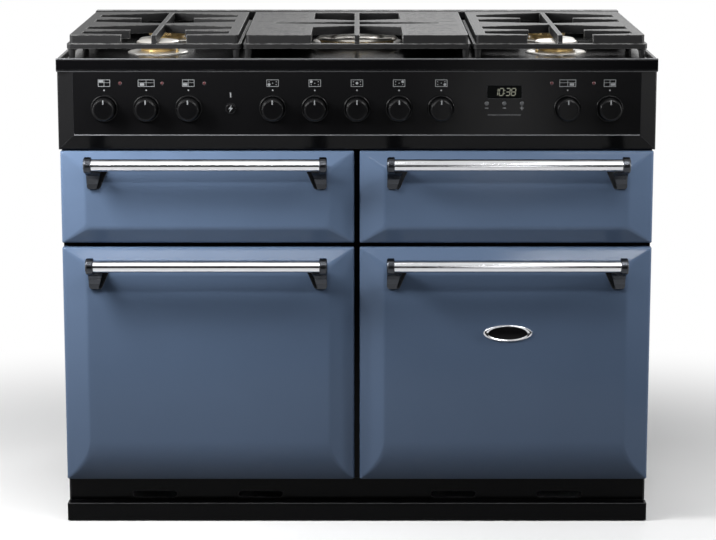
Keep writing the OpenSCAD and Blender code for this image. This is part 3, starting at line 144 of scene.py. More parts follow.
class Shader:
    """The node tree of one material, written as expressions on signals."""

    def __init__(self, name: str) -> None:
        """Starts an empty material.

        Args:
            name: The material's name.
        """
        self.material = bpy.data.materials.new(name)
        self.material.use_nodes = True
        self.tree = self.material.node_tree
        self.tree.nodes.clear()

    def node(
        self,
        kind: str,
        settings: dict[str, object] | None = None,
        inputs: dict[int | str, object] | None = None,
        output: int | str = 0,
    ) -> Signal:
        """Adds a node.

        Args:
            kind: The node's type.
            settings: Its properties, such as a Math node's operation, set first.
            inputs: The values or signals of its sockets, by name or number.
            output: The name or number of the output that is wanted.

        Returns:
            That output as a signal.
        """
        made = self.tree.nodes.new(kind)
        for name, value in (settings or {}).items():
            setattr(made, name, value)
        for name, value in (inputs or {}).items():
            if isinstance(value, Signal):
                self.tree.links.new(value.socket, made.inputs[name])
            else:
                made.inputs[name].default_value = value
        return Signal(self, made.outputs[output] if made.outputs else None)

    def place(self) -> Signal:
        """Gives the place on the object, in metres and in the frame's axes at rest."""
        return self.node("ShaderNodeTexCoord", output="Object")

    def split(self, vector: Signal) -> tuple[Signal, Signal, Signal]:
        """Gives the three parts of a vector.

        Args:
            vector: The vector.

        Returns:
            Its x, y and z.
        """
        first = self.node("ShaderNodeSeparateXYZ", {}, {0: vector})
        outputs = first.socket.node.outputs
        return first, Signal(self, outputs[1]), Signal(self, outputs[2])

    def noise(self, size_mm: float, detail: float = 2.0, stretch: Vector | None = None) -> Signal:
        """Gives a noise from 0 to 1.

        Args:
            size_mm: The size of its patches in millimetres.
            detail: How many finer octaves it has.
            stretch: How much denser it is along each axis, or None for the same all round.

        Returns:
            The noise.
        """
        where = self.place()
        if stretch is not None:
            where = self.node(
                "ShaderNodeVectorMath", {"operation": "MULTIPLY"}, {0: where, 1: stretch}
            )
        return self.node(
            "ShaderNodeTexNoise",
            {},
            {"Vector": where, "Scale": 1000 / size_mm, "Detail": detail},
        )

    def grains(self, size_mm: float) -> Signal:
        """Gives the cells of a crystal-like pattern, each with one random tone.

        Args:
            size_mm: The size of a cell in millimetres.

        Returns:
            The tone, from 0 to 1.
        """
        cells = self.node(
            "ShaderNodeTexVoronoi",
            {},
            {"Vector": self.place(), "Scale": 1000 / size_mm},
            "Color",
        )
        return self.split(cells)[0]

    def mixed(self, share: Signal | float, first: object, second: object) -> Signal:
        """Mixes two colours, from the first at 0 to the second at 1."""
        sockets = {0: share, 6: first, 7: second}
        return self.node("ShaderNodeMix", {"data_type": "RGBA"}, sockets, 2)

    def eased(self, radius_mm: float) -> Signal:
        """Gives the surface's normal with the edges eased by a radius."""
        return self.node("ShaderNodeBevel", {"samples": 6}, {"Radius": radius_mm / 1000})

    def edges(self, radius_mm: float) -> Signal:
        """Marks the outer edges.

        Args:
            radius_mm: How far from an edge the mark reaches, in millimetres.

        Returns:
            The mark, 1 on an edge and 0 away from it.
        """
        flat = self.node("ShaderNodeNewGeometry", output="Normal")
        cosine = self.node(
            "ShaderNodeVectorMath",
            {"operation": "DOT_PRODUCT"},
            {0: self.eased(radius_mm), 1: flat},
            "Value",
        )
        return (1 - cosine).step(0.01, 0.16)

    def bumped(self, height: Signal, depth_mm: float, normal: Signal) -> Signal:
        """Bends the normal by a height.

        Args:
            height: The height, from 0 to 1.
            depth_mm: How deep that is, in millimetres.
            normal: The normal to bend.

        Returns:
            The bent normal.
        """
        inputs = {"Height": height, "Distance": depth_mm / 1000, "Normal": normal}
        return self.node("ShaderNodeBump", {}, inputs)

    def finished(self, **sockets: object) -> bpy.types.Material:
        """Ends the material with a Principled surface.

        Args:
            sockets: Its inputs, by their names with underscores for spaces.

        Returns:
            The material.
        """
        inputs = {name.replace("_", " "): value for name, value in sockets.items()}
        return self.ended(self.node("ShaderNodeBsdfPrincipled", {}, inputs))

    def ended(self, surface: Signal) -> bpy.types.Material:
        """Ends the material with this surface."""
        self.node("ShaderNodeOutputMaterial", {}, {"Surface": surface})
        return self.material


# Finishes


@dataclass(frozen=True)
class Finish:
    """A finish of the cooker. Each kind says how its material is made."""

    name: str

    def make(self) -> bpy.types.Material:
        """Makes the material."""
        raise NotImplementedError

    @property
    def full_name(self) -> str:
        """Names the material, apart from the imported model's own plain ones."""
        return self.name + "_finish"

    def material(self) -> bpy.types.Material:
        """Gives the material of this finish, made once."""
        return bpy.data.materials.get(self.full_name) or self.make()


@dataclass(frozen=True)
class Enamel(Finish):
    """Fired vitreous enamel: a glossy glass skin, a faint ripple and a pale painted highlight on
    its edges.
    """

    colour: tuple[float, ...]
    edge_highlight: tuple[float, ...]
    roughness: float = 0.22
    gloss: float = 0.5
    ripple_mm: float = 0.05
    edge_mm: float = 1.2
    speckle: float = 0.0

    def make(self) -> bpy.types.Material:
        """Makes the material.

        Returns:
            The material.
        """
        s = Shader(self.full_name)
        cloud = s.noise(180, 3)
        fine = s.noise(1.4, 1)
        tone = (cloud - 0.5) * 0.16 + (fine - 0.5) * 0.06
        base = s.mixed(0.5 + tone * 2, scaled(self.colour, 0.82), scaled(self.colour, 1.18))
        if self.speckle:
            dots = s.noise(1.1, 0).step(0.66, 0.72) * self.speckle
            base = s.mixed(dots, base, linear(150, 150, 148))
        # Painted highlight: near the edges the colour is mixed towards a paler one, standing in
        # for light caught on the rounded edges.
        edge = s.edges(self.edge_mm)
        base = s.mixed(edge * 0.8, base, self.edge_highlight)
        ripple = s.noise(9, 1) * 0.7 + s.noise(2.2, 0) * 0.3
        return s.finished(
            Base_Color=base,
            Roughness=self.roughness + (s.noise(60, 2) - 0.5) * 0.06,
            Specular_IOR_Level=self.gloss,
            Normal=s.bumped(ripple, self.ripple_mm, s.eased(self.edge_mm)),
        )


@dataclass(frozen=True)
class CastIron(Finish):
    """Matt enamelled cast iron: a sandy skin, with edges that pans have scuffed to a smoother,
    metallic finish; the pale colour on those edges is a painted highlight.
    """

    colour: tuple[float, ...]
    edge_highlight: tuple[float, ...]
    roughness: float = 0.5
    edge_mm: float = 1.6

    def make(self) -> bpy.types.Material:
        """Makes the material.

        Returns:
            The material.
        """
        s = Shader(self.full_name)
        sand = s.noise(1.2, 3)
        pits = s.noise(4.5, 2)
        # Edge patches: smoother and metallic like scuffed iron, and mixed to a pale colour as a
        # painted highlight.
        edge = s.edges(self.edge_mm) * s.noise(14, 2).step(0.25, 0.7)
        base = s.mixed(sand * 0.5, self.colour, linear(30, 30, 31))
        return s.finished(
            Base_Color=s.mixed(edge, base, self.edge_highlight),
            Metallic=edge * 0.8,
            Roughness=self.roughness + (pits - 0.5) * 0.24 - edge * 0.12,
            Specular_IOR_Level=0.2,
            Normal=s.bumped(sand * 0.6 + pits * 0.4, 0.25, s.eased(self.edge_mm)),
        )


@dataclass(frozen=True)
class Plated(Finish):
    """Bright plating: a tinted mirror with hairlines and a little haze from wiping."""

    colour: tuple[float, ...]
    roughness: float = 0.1
    haze: float = 0.1
    lines: tuple[float, float, float] = (0.02, 1.0, 1.0)
    edge_mm: float = 0.6

    def make(self) -> bpy.types.Material:
        """Makes the material.

        Returns:
            The material.
        """
        s = Shader(self.full_name)
        hair = s.noise(0.6, 1, Vector(self.lines))
        wiped = s.noise(45, 3)
        return s.finished(
            Base_Color=s.mixed(wiped * 0.5 + hair * 0.3, self.colour, scaled(self.colour, 0.86)),
            Metallic=1.0,
            Roughness=self.roughness + wiped.step(0.45, 0.8) * self.haze,
            Normal=s.bumped(hair, 0.004, s.eased(self.edge_mm)),
        )


@dataclass(frozen=True)
class SheetSteel(Finish):
    """Zinc-coated sheet: a grey metal with a fine spangle of crystals."""

    colour: tuple[float, ...]
    roughness: float = 0.42
    spangle_mm: float = 9.0

    def make(self) -> bpy.types.Material:
        """Makes the material.

        Returns:
            The material.
        """
        s = Shader(self.full_name)
        crystal = s.grains(self.spangle_mm)
        stain = s.noise(120, 3)
        tone = crystal * 0.7 + (stain - 0.5) * 0.3
        return s.finished(
            Base_Color=s.mixed(tone, self.colour, scaled(self.colour, 1.3)),
            Metallic=0.9,
            Roughness=self.roughness + (crystal - 0.5) * 0.12,
            Normal=s.bumped(s.noise(1.5, 2), 0.03, s.eased(0.5)),
        )


@dataclass(frozen=True)
class BurnerMetal(Finish):
    """Cast or turned burner metal, browned by heat in patches and grained by its casting."""

    colour: tuple[float, ...]
    burnt: tuple[float, ...]
    roughness: float = 0.36
    metallic: float = 0.85
    heat: float = 0.6
    grain_mm: float = 0.1

    def make(self) -> bpy.types.Material:
        """Makes the material.

        Returns:
            The material.
        """
        s = Shader(self.full_name)
        patch = s.noise(22, 3).step(0.38, 0.72) * self.heat
        grain = s.noise(0.8, 2)
        return s.finished(
            Base_Color=s.mixed(patch, self.colour, self.burnt),
            Metallic=self.metallic,
            Roughness=self.roughness + patch * 0.2 + (grain - 0.5) * 0.1,
            Normal=s.bumped(grain, self.grain_mm, s.eased(0.7)),
        )


@dataclass(frozen=True)
class Moulding(Finish):
    """Moulded plastic, rubber or ceramic with a fine grain and a pale painted highlight on its
    edges.
    """

    colour: tuple[float, ...]
    roughness: float = 0.3
    grain_mm: float = 0.02
    edge_mm: float = 0.8
    sheen: float = 0.08
    gloss: float = 0.5

    def make(self) -> bpy.types.Material:
        """Makes the material.

        Returns:
            The material.
        """
        s = Shader(self.full_name)
        grain = s.noise(0.7, 1)
        # Painted highlight: the edges are mixed towards the colour lifted by the sheen; the noise
        # adds random tone.
        edge_highlight_mask = s.edges(self.edge_mm)
        paler = tuple(c + self.sheen for c in self.colour[:3]) + (1.0,)
        return s.finished(
            Base_Color=s.mixed(edge_highlight_mask * 0.5 + (s.noise(30, 2) - 0.5) * 0.2, self.colour, paler),
            Roughness=self.roughness + (grain - 0.5) * 0.1,
            Specular_IOR_Level=self.gloss,
            Normal=s.bumped(grain, self.grain_mm, s.eased(self.edge_mm)),
        )


@dataclass(frozen=True)
class Glass(Finish):
    """Dark tinted glass, glossy and slightly uneven in tint."""

    colour: tuple[float, ...]
    depth: tuple[float, ...]
    roughness: float = 0.06
    gloss: float = 0.5

    def make(self) -> bpy.types.Material:
        """Makes the material.

        Returns:
            The material.
        """
        s = Shader(self.full_name)
        tint = s.noise(18, 1)
        return s.finished(
            Base_Color=s.mixed(tint, self.colour, self.depth),
            Roughness=self.roughness + tint * 0.03,
            Specular_IOR_Level=self.gloss,
            Normal=s.bumped(s.noise(12, 0), 0.01, s.eased(0.5)),
        )


@dataclass(frozen=True)
class Print(Finish):
    """Screen-printed ink: a flat pale tone, a little uneven where it was squeezed."""

    colour: tuple[float, ...]

    def make(self) -> bpy.types.Material:
        """Makes the material.

        Returns:
            The material.
        """
        s = Shader(self.full_name)
        cover = s.noise(1.2, 2).step(0.3, 0.6)
        return s.finished(
            Base_Color=s.mixed(cover, scaled(self.colour, 0.6), self.colour),
            Roughness=0.45 + (s.noise(3, 1) - 0.5) * 0.1,
        )


@dataclass(frozen=True)
class Lit(Finish):
    """A lit segment of the clock, slightly uneven along its length."""

    colour: tuple[float, ...]
    strength: float = 0.5

    def make(self) -> bpy.types.Material:
        """Makes the material.

        Returns:
            The material.
        """
        s = Shader(self.full_name)
        glow = s.mixed(s.noise(2.5, 1), scaled(self.colour, 0.7), self.colour)
        return s.finished(
            Base_Color=linear(12, 16, 15),
            Emission_Color=glow,
            Emission_Strength=self.strength,
            Roughness=0.4,
        )


# The second colour of each enamel and of the cast iron is the pale painted highlight mixed in
# along its edges.
BLUE = Enamel("blue_enamel", linear(87, 104, 129), linear(132, 146, 168), 0.15, 0.12, 0.04, 2.0)
BLACK = Enamel("black_enamel", linear(6, 6, 7), linear(112, 112, 114), 0.22, 0.06, 0.05, 2.0)
FASCIA = Enamel("fascia_enamel", linear(13, 13, 14), linear(92, 93, 96), 0.22, 0.11, 0.03, 1.6)
OVEN = Enamel("oven_enamel", linear(24, 25, 28), linear(60, 60, 64), 0.3, 0.5, 0.05, 1.0, 0.5)
IRON = CastIron("cast_iron", linear(11, 11, 12), linear(136, 136, 135), 0.5, 2.6)
CHROME = Plated("chrome", linear(216, 217, 220), 0.15, 0.06)
# Chrome darkened as painted shade and dark reflection, for the handles' end brackets and plates.
SHADED_CHROME = Plated("shaded_chrome", linear(64, 66, 70), 0.22, 0.1, (1.0, 1.0, 0.1), 1.6)
WIRE = Plated("chromed_wire", linear(206, 207, 209), 0.18, 0.12, (1.0, 1.0, 1.0), 0.3)
ZINC = SheetSteel("zinc_steel", linear(138, 140, 143))
BRASS = BurnerMetal("burner_brass", linear(206, 180, 126), linear(120, 94, 62), 0.34, 0.9, 0.5)
ALLOY = BurnerMetal("burner_alloy", linear(196, 194, 190), linear(150, 144, 134), 0.36, 0.85, 0.4)
CAP = BurnerMetal(
    "burner_cap_steel", linear(214, 210, 202), linear(168, 160, 148), 0.3, 0.85, 0.35
)
SHEATH = BurnerMetal("element_steel", linear(82, 78, 74), linear(58, 46, 44), 0.45, 0.85, 0.8)
KNOB = Moulding("knob_black", linear(7, 7, 8), 0.24, 0.01, 1.0, 0.02, 0.14)
CLOCK_GREY = Moulding("clock_grey", linear(66, 68, 70), 0.35, 0.01, 0.4, 0.06)
LENS = Moulding("neon_lens", linear(62, 9, 13), 0.42, 0.01, 0.3, 0.01)
WINDOW = Glass("clock_window", linear(3, 4, 4), linear(5, 6, 6), 0.08, 0.01)
# Grey enamels of the slim beads: their paleness on the black fascia and tray is painted highlight.
HIGHLIGHT_BEAD = Enamel("highlight_bead_enamel", linear(50, 51, 53), linear(96, 97, 99), 0.3, 0.3, 0.02, 0.4)
PALE_HIGHLIGHT_BEAD = Enamel("pale_highlight_bead_enamel", linear(112, 113, 116), linear(150, 151, 154), 0.3, 0.4)
SEAL = Moulding("seal_rubber", linear(26, 26, 27), 0.7, 0.12, 0.5, 0.02)
NYLON = Moulding("roller_nylon", linear(40, 40, 42), 0.5, 0.03, 0.8, 0.05)
CERAMIC = Moulding("electrode_ceramic", linear(222, 220, 212), 0.25, 0.01, 0.4, 0.05)
INK = Print("fascia_ink", linear(132, 134, 136))
DIGITS = Lit("clock_digits", linear(184, 184, 164), 0.5)


# Meshes


class Facing(Enum):
    """The three ways in which a turned or extruded form can point, as its own three axes."""

    UP = (Vector((1, 0, 0)), Vector((0, 1, 0)), Vector((0, 0, 1)))
    BACK = (Vector((1, 0, 0)), Vector((0, 0, 1)), Vector((0, 1, 0)))
    ACROSS = (Vector((0, 1, 0)), Vector((0, 0, 1)), Vector((1, 0, 0)))


@dataclass
class Shape:
    """Points in metres and the faces on them, before they become a piece."""

    points: list[Vector] = field(default_factory=list)
    faces: list[tuple[int, ...]] = field(default_factory=list)

    def __add__(self, other: "Shape") -> "Shape":
        """Puts two shapes together as one.

        Args:
            other: The shape to add.

        Returns:
            Both as one shape.
        """
        shift = len(self.points)
        moved = [tuple(i + shift for i in face) for face in other.faces]
        return Shape(self.points + other.points, self.faces + moved)

    @classmethod
    def lofted(
        cls, rings: Sequence[Sequence[Vector]], start: bool = True, end: bool = True
    ) -> "Shape":
        """Joins rings of the same number of points with faces.

        Args:
            rings: The rings, in order.
            start: Whether the first ring is closed with a face.
            end: Whether the last ring is closed with a face.

        Returns:
            The shape.
        """
        n = len(rings[0])
        faces = [
            (k * n + i, k * n + (i + 1) % n, (k + 1) * n + (i + 1) % n, (k + 1) * n + i)
            for k in range(len(rings) - 1)
            for i in range(n)
        ]
        if start:
            faces.append(tuple(reversed(range(n))))
        if end:
            faces.append(tuple(range((len(rings) - 1) * n, len(rings) * n)))
        return cls([p for ring in rings for p in ring], faces)

    @classmethod
    def turned(
        cls,
        outline: Sequence[tuple[float, float]],
        centre: Vector,
        facing: Facing = Facing.UP,
        sides: int = 32,
        stretch: float = 1.0,
    ) -> "Shape":
        """Turns an outline about an axis.

        Args:
            outline: Radius and place along the axis of each point, in millimetres.
            centre: The axis's zero, in the frame.
            facing: Where the axis points.
            sides: How many sides a turn has.
            stretch: How much wider the form is along its first axis.

        Returns:
            The shape.
        """
        first, second, along = facing.value
        turns = [2 * math.pi * i / sides for i in range(sides)]
        rings = [
            [
                centre
                + (
                    first * math.cos(a) * stretch * r
                    + second * math.sin(a) * r
                    + along * level
                )
                / 1000
                for a in turns
            ]
            for r, level in outline
        ]
        return cls.lofted(rings)

    @classmethod
    def swept(cls, path: Sequence[Vector], radius_mm: float, sides: int = 10) -> "Shape":
        """Sweeps a circle along a path.

        Args:
            path: The points of its axis, in the frame.
            radius_mm: The circle's radius.
            sides: How many sides the tube has.

        Returns:
            The shape.
        """
        rings, across = [], None
        for i, point in enumerate(path):
            ahead = (path[min(i + 1, len(path) - 1)] - path[max(i - 1, 0)]).normalized()
            if across is None:
                across = ahead.orthogonal().normalized()
            across = (across - ahead * across.dot(ahead)).normalized()
            other = ahead.cross(across)
            rings.append(
                [
                    point
                    + (across * math.cos(a) + other * math.sin(a)) * radius_mm / 1000
                    for a in (2 * math.pi * k / sides for k in range(sides))
                ]
            )
        return cls.lofted(rings)

    @classmethod
    def on_fascia(cls, outline: Sequence[tuple[float, float]], proud_mm: float = 0.1) -> "Shape":
        """Makes a thin print of an outline in x and height, on the fascia's face."""
        rings = [[at(x, depth, z) for x, z in outline] for depth in (-proud_mm, 0.02)]
        return cls.lofted(rings)

    @classmethod
    def bar(cls, x0: float, z0: float, x1: float, z1: float) -> "Shape":
        """Makes a thin rectangular print on the fascia's face."""
        return cls.on_fascia([(x0, z0), (x1, z0), (x1, z1), (x0, z1)])

    def mesh(self, name: str) -> bpy.types.Mesh:
        """Makes the shape a mesh.

        Args:
            name: The mesh's name.

        Returns:
            The mesh.
        """
        made = bpy.data.meshes.new(name)
        made.from_pydata([tuple(p) for p in self.points], [], self.faces)
        return made

    def piece(
        self,
        name: str,
        finish: Finish,
        body: str,
        slot: str | None = None,
        smooth: bool = True,
    ) -> bpy.types.Object:
        """Makes the shape a piece of the scene.

        Args:
            name: The piece's name.
            finish: Its finish.
            body: The body that it rides on.
            slot: The record's material slot of that finish, or None; it is not used.
            smooth: Whether its gentle bends are shaded smooth.

        Returns:
            The object.
        """
        mesh = self.mesh(name)
        work = bmesh.new()
        work.from_mesh(mesh)
        bmesh.ops.remove_doubles(work, verts=work.verts, dist=1e-6)
        bmesh.ops.recalc_face_normals(work, faces=work.faces)
        work.to_mesh(mesh)
        work.free()
        if smooth:
            mesh.shade_smooth()
            mesh.set_sharp_from_angle(angle=SHARP_BEND)
        mesh.materials.append(finish.material())
        made = bpy.data.objects.new(name, mesh)
        bpy.context.scene.collection.objects.link(made)
        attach(made, body)
        LOG.info("piece %s on %s, %d faces", name, body, len(mesh.polygons))
        return made


def hardened(piece: bpy.types.Object, kind: str, **settings: object) -> None:
    """Adds a modifier to a piece and applies it to its mesh.

    Args:
        piece: The piece.
        kind: The modifier's type.
        settings: Its properties.
    """
    modifier = piece.modifiers.new(kind.lower(), kind)
    for name, value in settings.items():
        setattr(modifier, name, value)
    bpy.context.view_layer.update()
    graph = bpy.context.evaluated_depsgraph_get()
    fresh = bpy.data.meshes.new_from_object(piece.evaluated_get(graph))
    piece.modifiers.clear()
    piece.data = fresh


# The cooker


@dataclass
class Slope:
    """How one border of a pressed front falls from its face to its rim."""

    run: float
    rise: float = 14.0
    rim_r: float = 6.0
    crease_r: float = 26.0

    def offset(self, depth: float) -> float:
        """Gives how far in from the rim the surface is at a depth.

        Args:
            depth: The depth behind the face.

        Returns:
            The offset, in millimetres.
        """
        slope = math.atan2(self.rise, self.run)
        eased = self.crease_r * (1 - math.cos(slope))
        if depth <= eased:
            reach = math.sqrt(self.crease_r**2 - (self.crease_r - depth) ** 2)
            return self.run + self.crease_r * math.tan(slope / 2) - reach
        wall = (self.rim_r + (self.run - self.rim_r) * math.sin(slope)) / math.cos(slope)
        if depth >= wall:
            return 0.0
        if depth >= wall - self.rim_r * math.cos(slope):
            return self.rim_r - math.sqrt(self.rim_r**2 - (wall - depth) ** 2)
        return self.run * (1 - depth / self.rise)


@dataclass
class Bow(Slope):
    """A border that falls from the face in one arc and ends at a crisp rim."""

    def offset(self, depth: float) -> float:
        """Gives how far in from the rim the surface is at a depth.

        Args:
            depth: The depth behind the face.

        Returns:
            The offset, in millimetres.
        """
        if depth >= self.rise:
            return 0.0
        r = (self.run**2 + self.rise**2) / (2 * self.rise)
        return self.run - math.sqrt(max(0.0, 2 * r * depth - depth**2))


@dataclass
class PressedFront:
    """The pressed and enamelled skin of one door or drawer front."""

    name: str
    node: str
    body: str
    middle_x: float
    foot_z: float
    height: float
    foot: Slope
    width: float = 538.5
    side: Slope = field(default_factory=lambda: Slope(46.0))
    top: Slope = field(default_factory=lambda: Slope(31.0))
    back: float = 30.0
    sheet: float = 2.0
    hinge_x: float | None = None
    corner_r: float = 2.5
    corner_gain: float = 6.0
    corner_fade: float = 14.0
    slot_half: float = 4.0
    slot_top: float = 22.5
    slot_depths: tuple[float, float] = (19.0, 40.0)

    def build(self) -> None:
        """Builds the skin in place of its CAD node."""
        levels = [self.back, 24.0, 19.5, 18.6, 18.1, 17.6, 17.0, 16.2, 15.2, 14.3, 14.0, 13.7]
        levels += [13.2, 12.7, 12.0, 10.5, 8.5, 6.5, 5.0, 3.8, 3.0, 2.5, 2.1, 1.75, 1.45, 1.2]
        levels += [0.97, 0.78, 0.6, 0.44, 0.3, 0.18, 0.09, 0.03, 0.0]
        shape = Shape.lofted([self._ring(d) for d in levels], start=False)
        piece = shape.piece(self.name, BLUE, self.body, "blue_enamel")
        hardened(piece, "SOLIDIFY", thickness=self.sheet / 1000, offset=-1.0, use_even_offset=True)
        if self.hinge_x is not None:
            self._notch(piece)
        hardened(piece, "WEIGHTED_NORMAL", keep_sharp=True)
        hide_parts(self.node)

    def _ring(self, depth: float) -> list[Vector]:
        """Gives the skin's outline at a depth, with its corners rounded.

        Args:
            depth: The depth behind the fascia's face.

        Returns:
            The outline's points in the frame.
        """
        half = self.width / 2 - self.side.offset(depth)
        low = self.foot_z + self.foot.offset(depth)
        high = self.foot_z + self.height - self.top.offset(depth)
        round_r = self.corner_r + self.corner_gain * max(0.0, 1 - depth / self.corner_fade)
        ring = []
        for sx, z, start in ((1, high, 90), (-1, high, 180), (-1, low, 270), (1, low, 0)):
            cx = self.middle_x + sx * (half - round_r)
            cz = z - round_r if z == high else z + round_r
            turns = [start - 90 * (1 - i / 6) for i in range(7)]
            ring += [
                at(
                    cx + round_r * math.cos(math.radians(a)),
                    depth,
                    cz + round_r * math.sin(math.radians(a)),
                )
                for a in turns
            ]
        return ring

    def _notch(self, piece: bpy.types.Object) -> None:
        """Cuts the slots that the hinges' arms enter from below.

        Args:
            piece: The skin.
        """
        w, low, high = self.slot_half, -self.slot_half, self.slot_top
        slots = Shape()
        for sx in (-1, 1):
            x = self.middle_x + sx * self.hinge_x
            rings = [
                [
                    at(x + dx, depth, self.foot_z + z)
                    for dx, z in ((-w, low), (w, low), (w, high), (-w, high))
                ]
                for depth in self.slot_depths
            ]
            slots += Shape.lofted(rings)
        cutter = slots.piece(self.name + "_slots", BLUE, self.body, smooth=False)
        hardened(piece, "BOOLEAN", operation="DIFFERENCE", object=cutter, solver="EXACT")
        bpy.data.objects.remove(cutter)


@dataclass
class Fronts:
    """The four pressed fronts and the plain plate on the lower right door."""

    middle_x: float = 274.25
    door_z: float = 85.0
    door_h: float = 441.6
    drawer_z: float = 534.6
    drawer_h: float = 171.0
    plate_z: float = 368.0
    plate_x: float = 279.0
    plate_w: float = 90.0
    plate_h: float = 31.0

    def build(self) -> None:
        """Builds the skins and the plate."""
        for side, sx in (("left", -1), ("right", 1)):
            PressedFront(
                f"{side}_door_enamel",
                f"{side}_door_skin",
                f"{side}_door",
                sx * self.middle_x,
                self.door_z,
                self.door_h,
                Bow(77.0),
                hinge_x=200.0,
            ).build()
        for name, node, body, sx in (
            ("grill_enamel", "grill_front", "grill_drawer", -1),
            ("drawer_enamel", "drawer_front", "warming_drawer", 1),
        ):
            PressedFront(
                name, node, body, sx * self.middle_x, self.drawer_z, self.drawer_h, Slope(30.0)
            ).build()
        self._plate()

    def _plate(self) -> None:
        """Builds the plain oval plate: a bright bead round a dark, slightly domed field."""
        centre = at(self.plate_x, 0, self.plate_z)
        half = self.plate_h / 2
        wide = self.plate_w / self.plate_h
        bead = [
            (half - 3.2, 0.05), (half, 0.05), (half, -1.4), (half - 0.5, -2.2), (half - 1.2, -2.6),
            (half - 1.9, -2.4), (half - 2.6, -1.6), (half - 3.2, -1.2),
        ]
        shape = Shape.turned(bead, centre, Facing.BACK, 72, wide)
        shape.piece("plate_bead", CHROME, "right_door", "chrome")
        dome = [(half - 2.9, 0.05), (half - 2.9, -1.2), (half - 6, -1.5), (4, -1.9), (0.4, -1.95)]
        field_shape = Shape.turned(dome, centre, Facing.BACK, 72, wide)
        field_shape.piece("plate_field", FASCIA, "right_door", "fascia_enamel")


@dataclass
class HandlePlates:
    """The thin plates by which the handles' ends stand on the fronts, in chrome darkened as
    painted shade under the bars' ends.
    """

    middle_x: float = 274.25
    outer: float = 219.0
    top_w: float = 43.0
    foot_w: float = 24.0
    top_drop: float = 5.0
    foot_drop: float = 51.0
    thick: float = 1.6
    bars: tuple[tuple[str, int, float], ...] = (
        ("left_door", -1, 502.1),
        ("right_door", 1, 502.1),
        ("grill_drawer", -1, 688.1),
        ("warming_drawer", 1, 688.1),
    )

    def build(self) -> None:
        """Builds a pair of plates on each front."""
        for body, side, bar_z in self.bars:
            pair = Shape()
            for sx in (-1, 1):
                pair += Shape.lofted(
                    [
                        self._outline(side * self.middle_x, sx, bar_z, depth, inset)
                        for depth, inset in ((0.02, 0.0), (-0.9, 0.0), (-self.thick, 0.7))
                    ]
                )
            pair.piece(f"{body}_handle_plates", SHADED_CHROME, body, "chrome")

    def _outline(
        self, x: float, sx: int, bar_z: float, depth: float, inset: float
    ) -> list[Vector]:
        """Gives a plate's tapered outline.

        Args:
            x: The middle of the handle.
            sx: The plate's side, -1 for left and 1 for right.
            bar_z: The height of the bar's axis.
            depth: The depth behind the fascia's face.
            inset: How far the outline is drawn in.

        Returns:
            The outline's points in the frame.
        """
        corners = (
            (self.outer - inset, self.top_drop + inset),
            (self.outer - inset, self.foot_drop - 4),
            (self.outer - 4, self.foot_drop - inset),
            (self.outer - self.foot_w + 3, self.foot_drop - inset),
            (self.outer - self.foot_w, self.foot_drop - 3 - inset),
            (self.outer - self.top_w + inset, self.top_drop + inset),
        )
        return [at(x + sx * out, depth, bar_z - drop) for out, drop in corners]


@dataclass
class FasciaTrim:
    """Slim beads over the fascia's foot and along the hob tray's edges, grey on the black enamel
    as painted highlight lines.
    """

    foot_half: float = 515.0
    foot_z: float = 737.0
    top_half: float = 545.0
    top_z: float = 853.2
    lip_z: float = 875.9
    radius: float = 0.9

    def build(self) -> None:
        """Builds the beads."""
        for name, half, depth, z, share, finish in (
            ("fascia_foot_bead", self.foot_half, -0.1, self.foot_z, 1.0, PALE_HIGHLIGHT_BEAD),
            ("hob_edge_bead", self.top_half, -0.05, self.top_z, 0.7, HIGHLIGHT_BEAD),
            ("hob_lip_bead", self.top_half, 0.4, self.lip_z, 0.9, PALE_HIGHLIGHT_BEAD),
        ):
            path = [at(sx * half, depth, z) for sx in (-1, 1)]
            Shape.swept(path, self.radius * share).piece(name, finish, BODY)


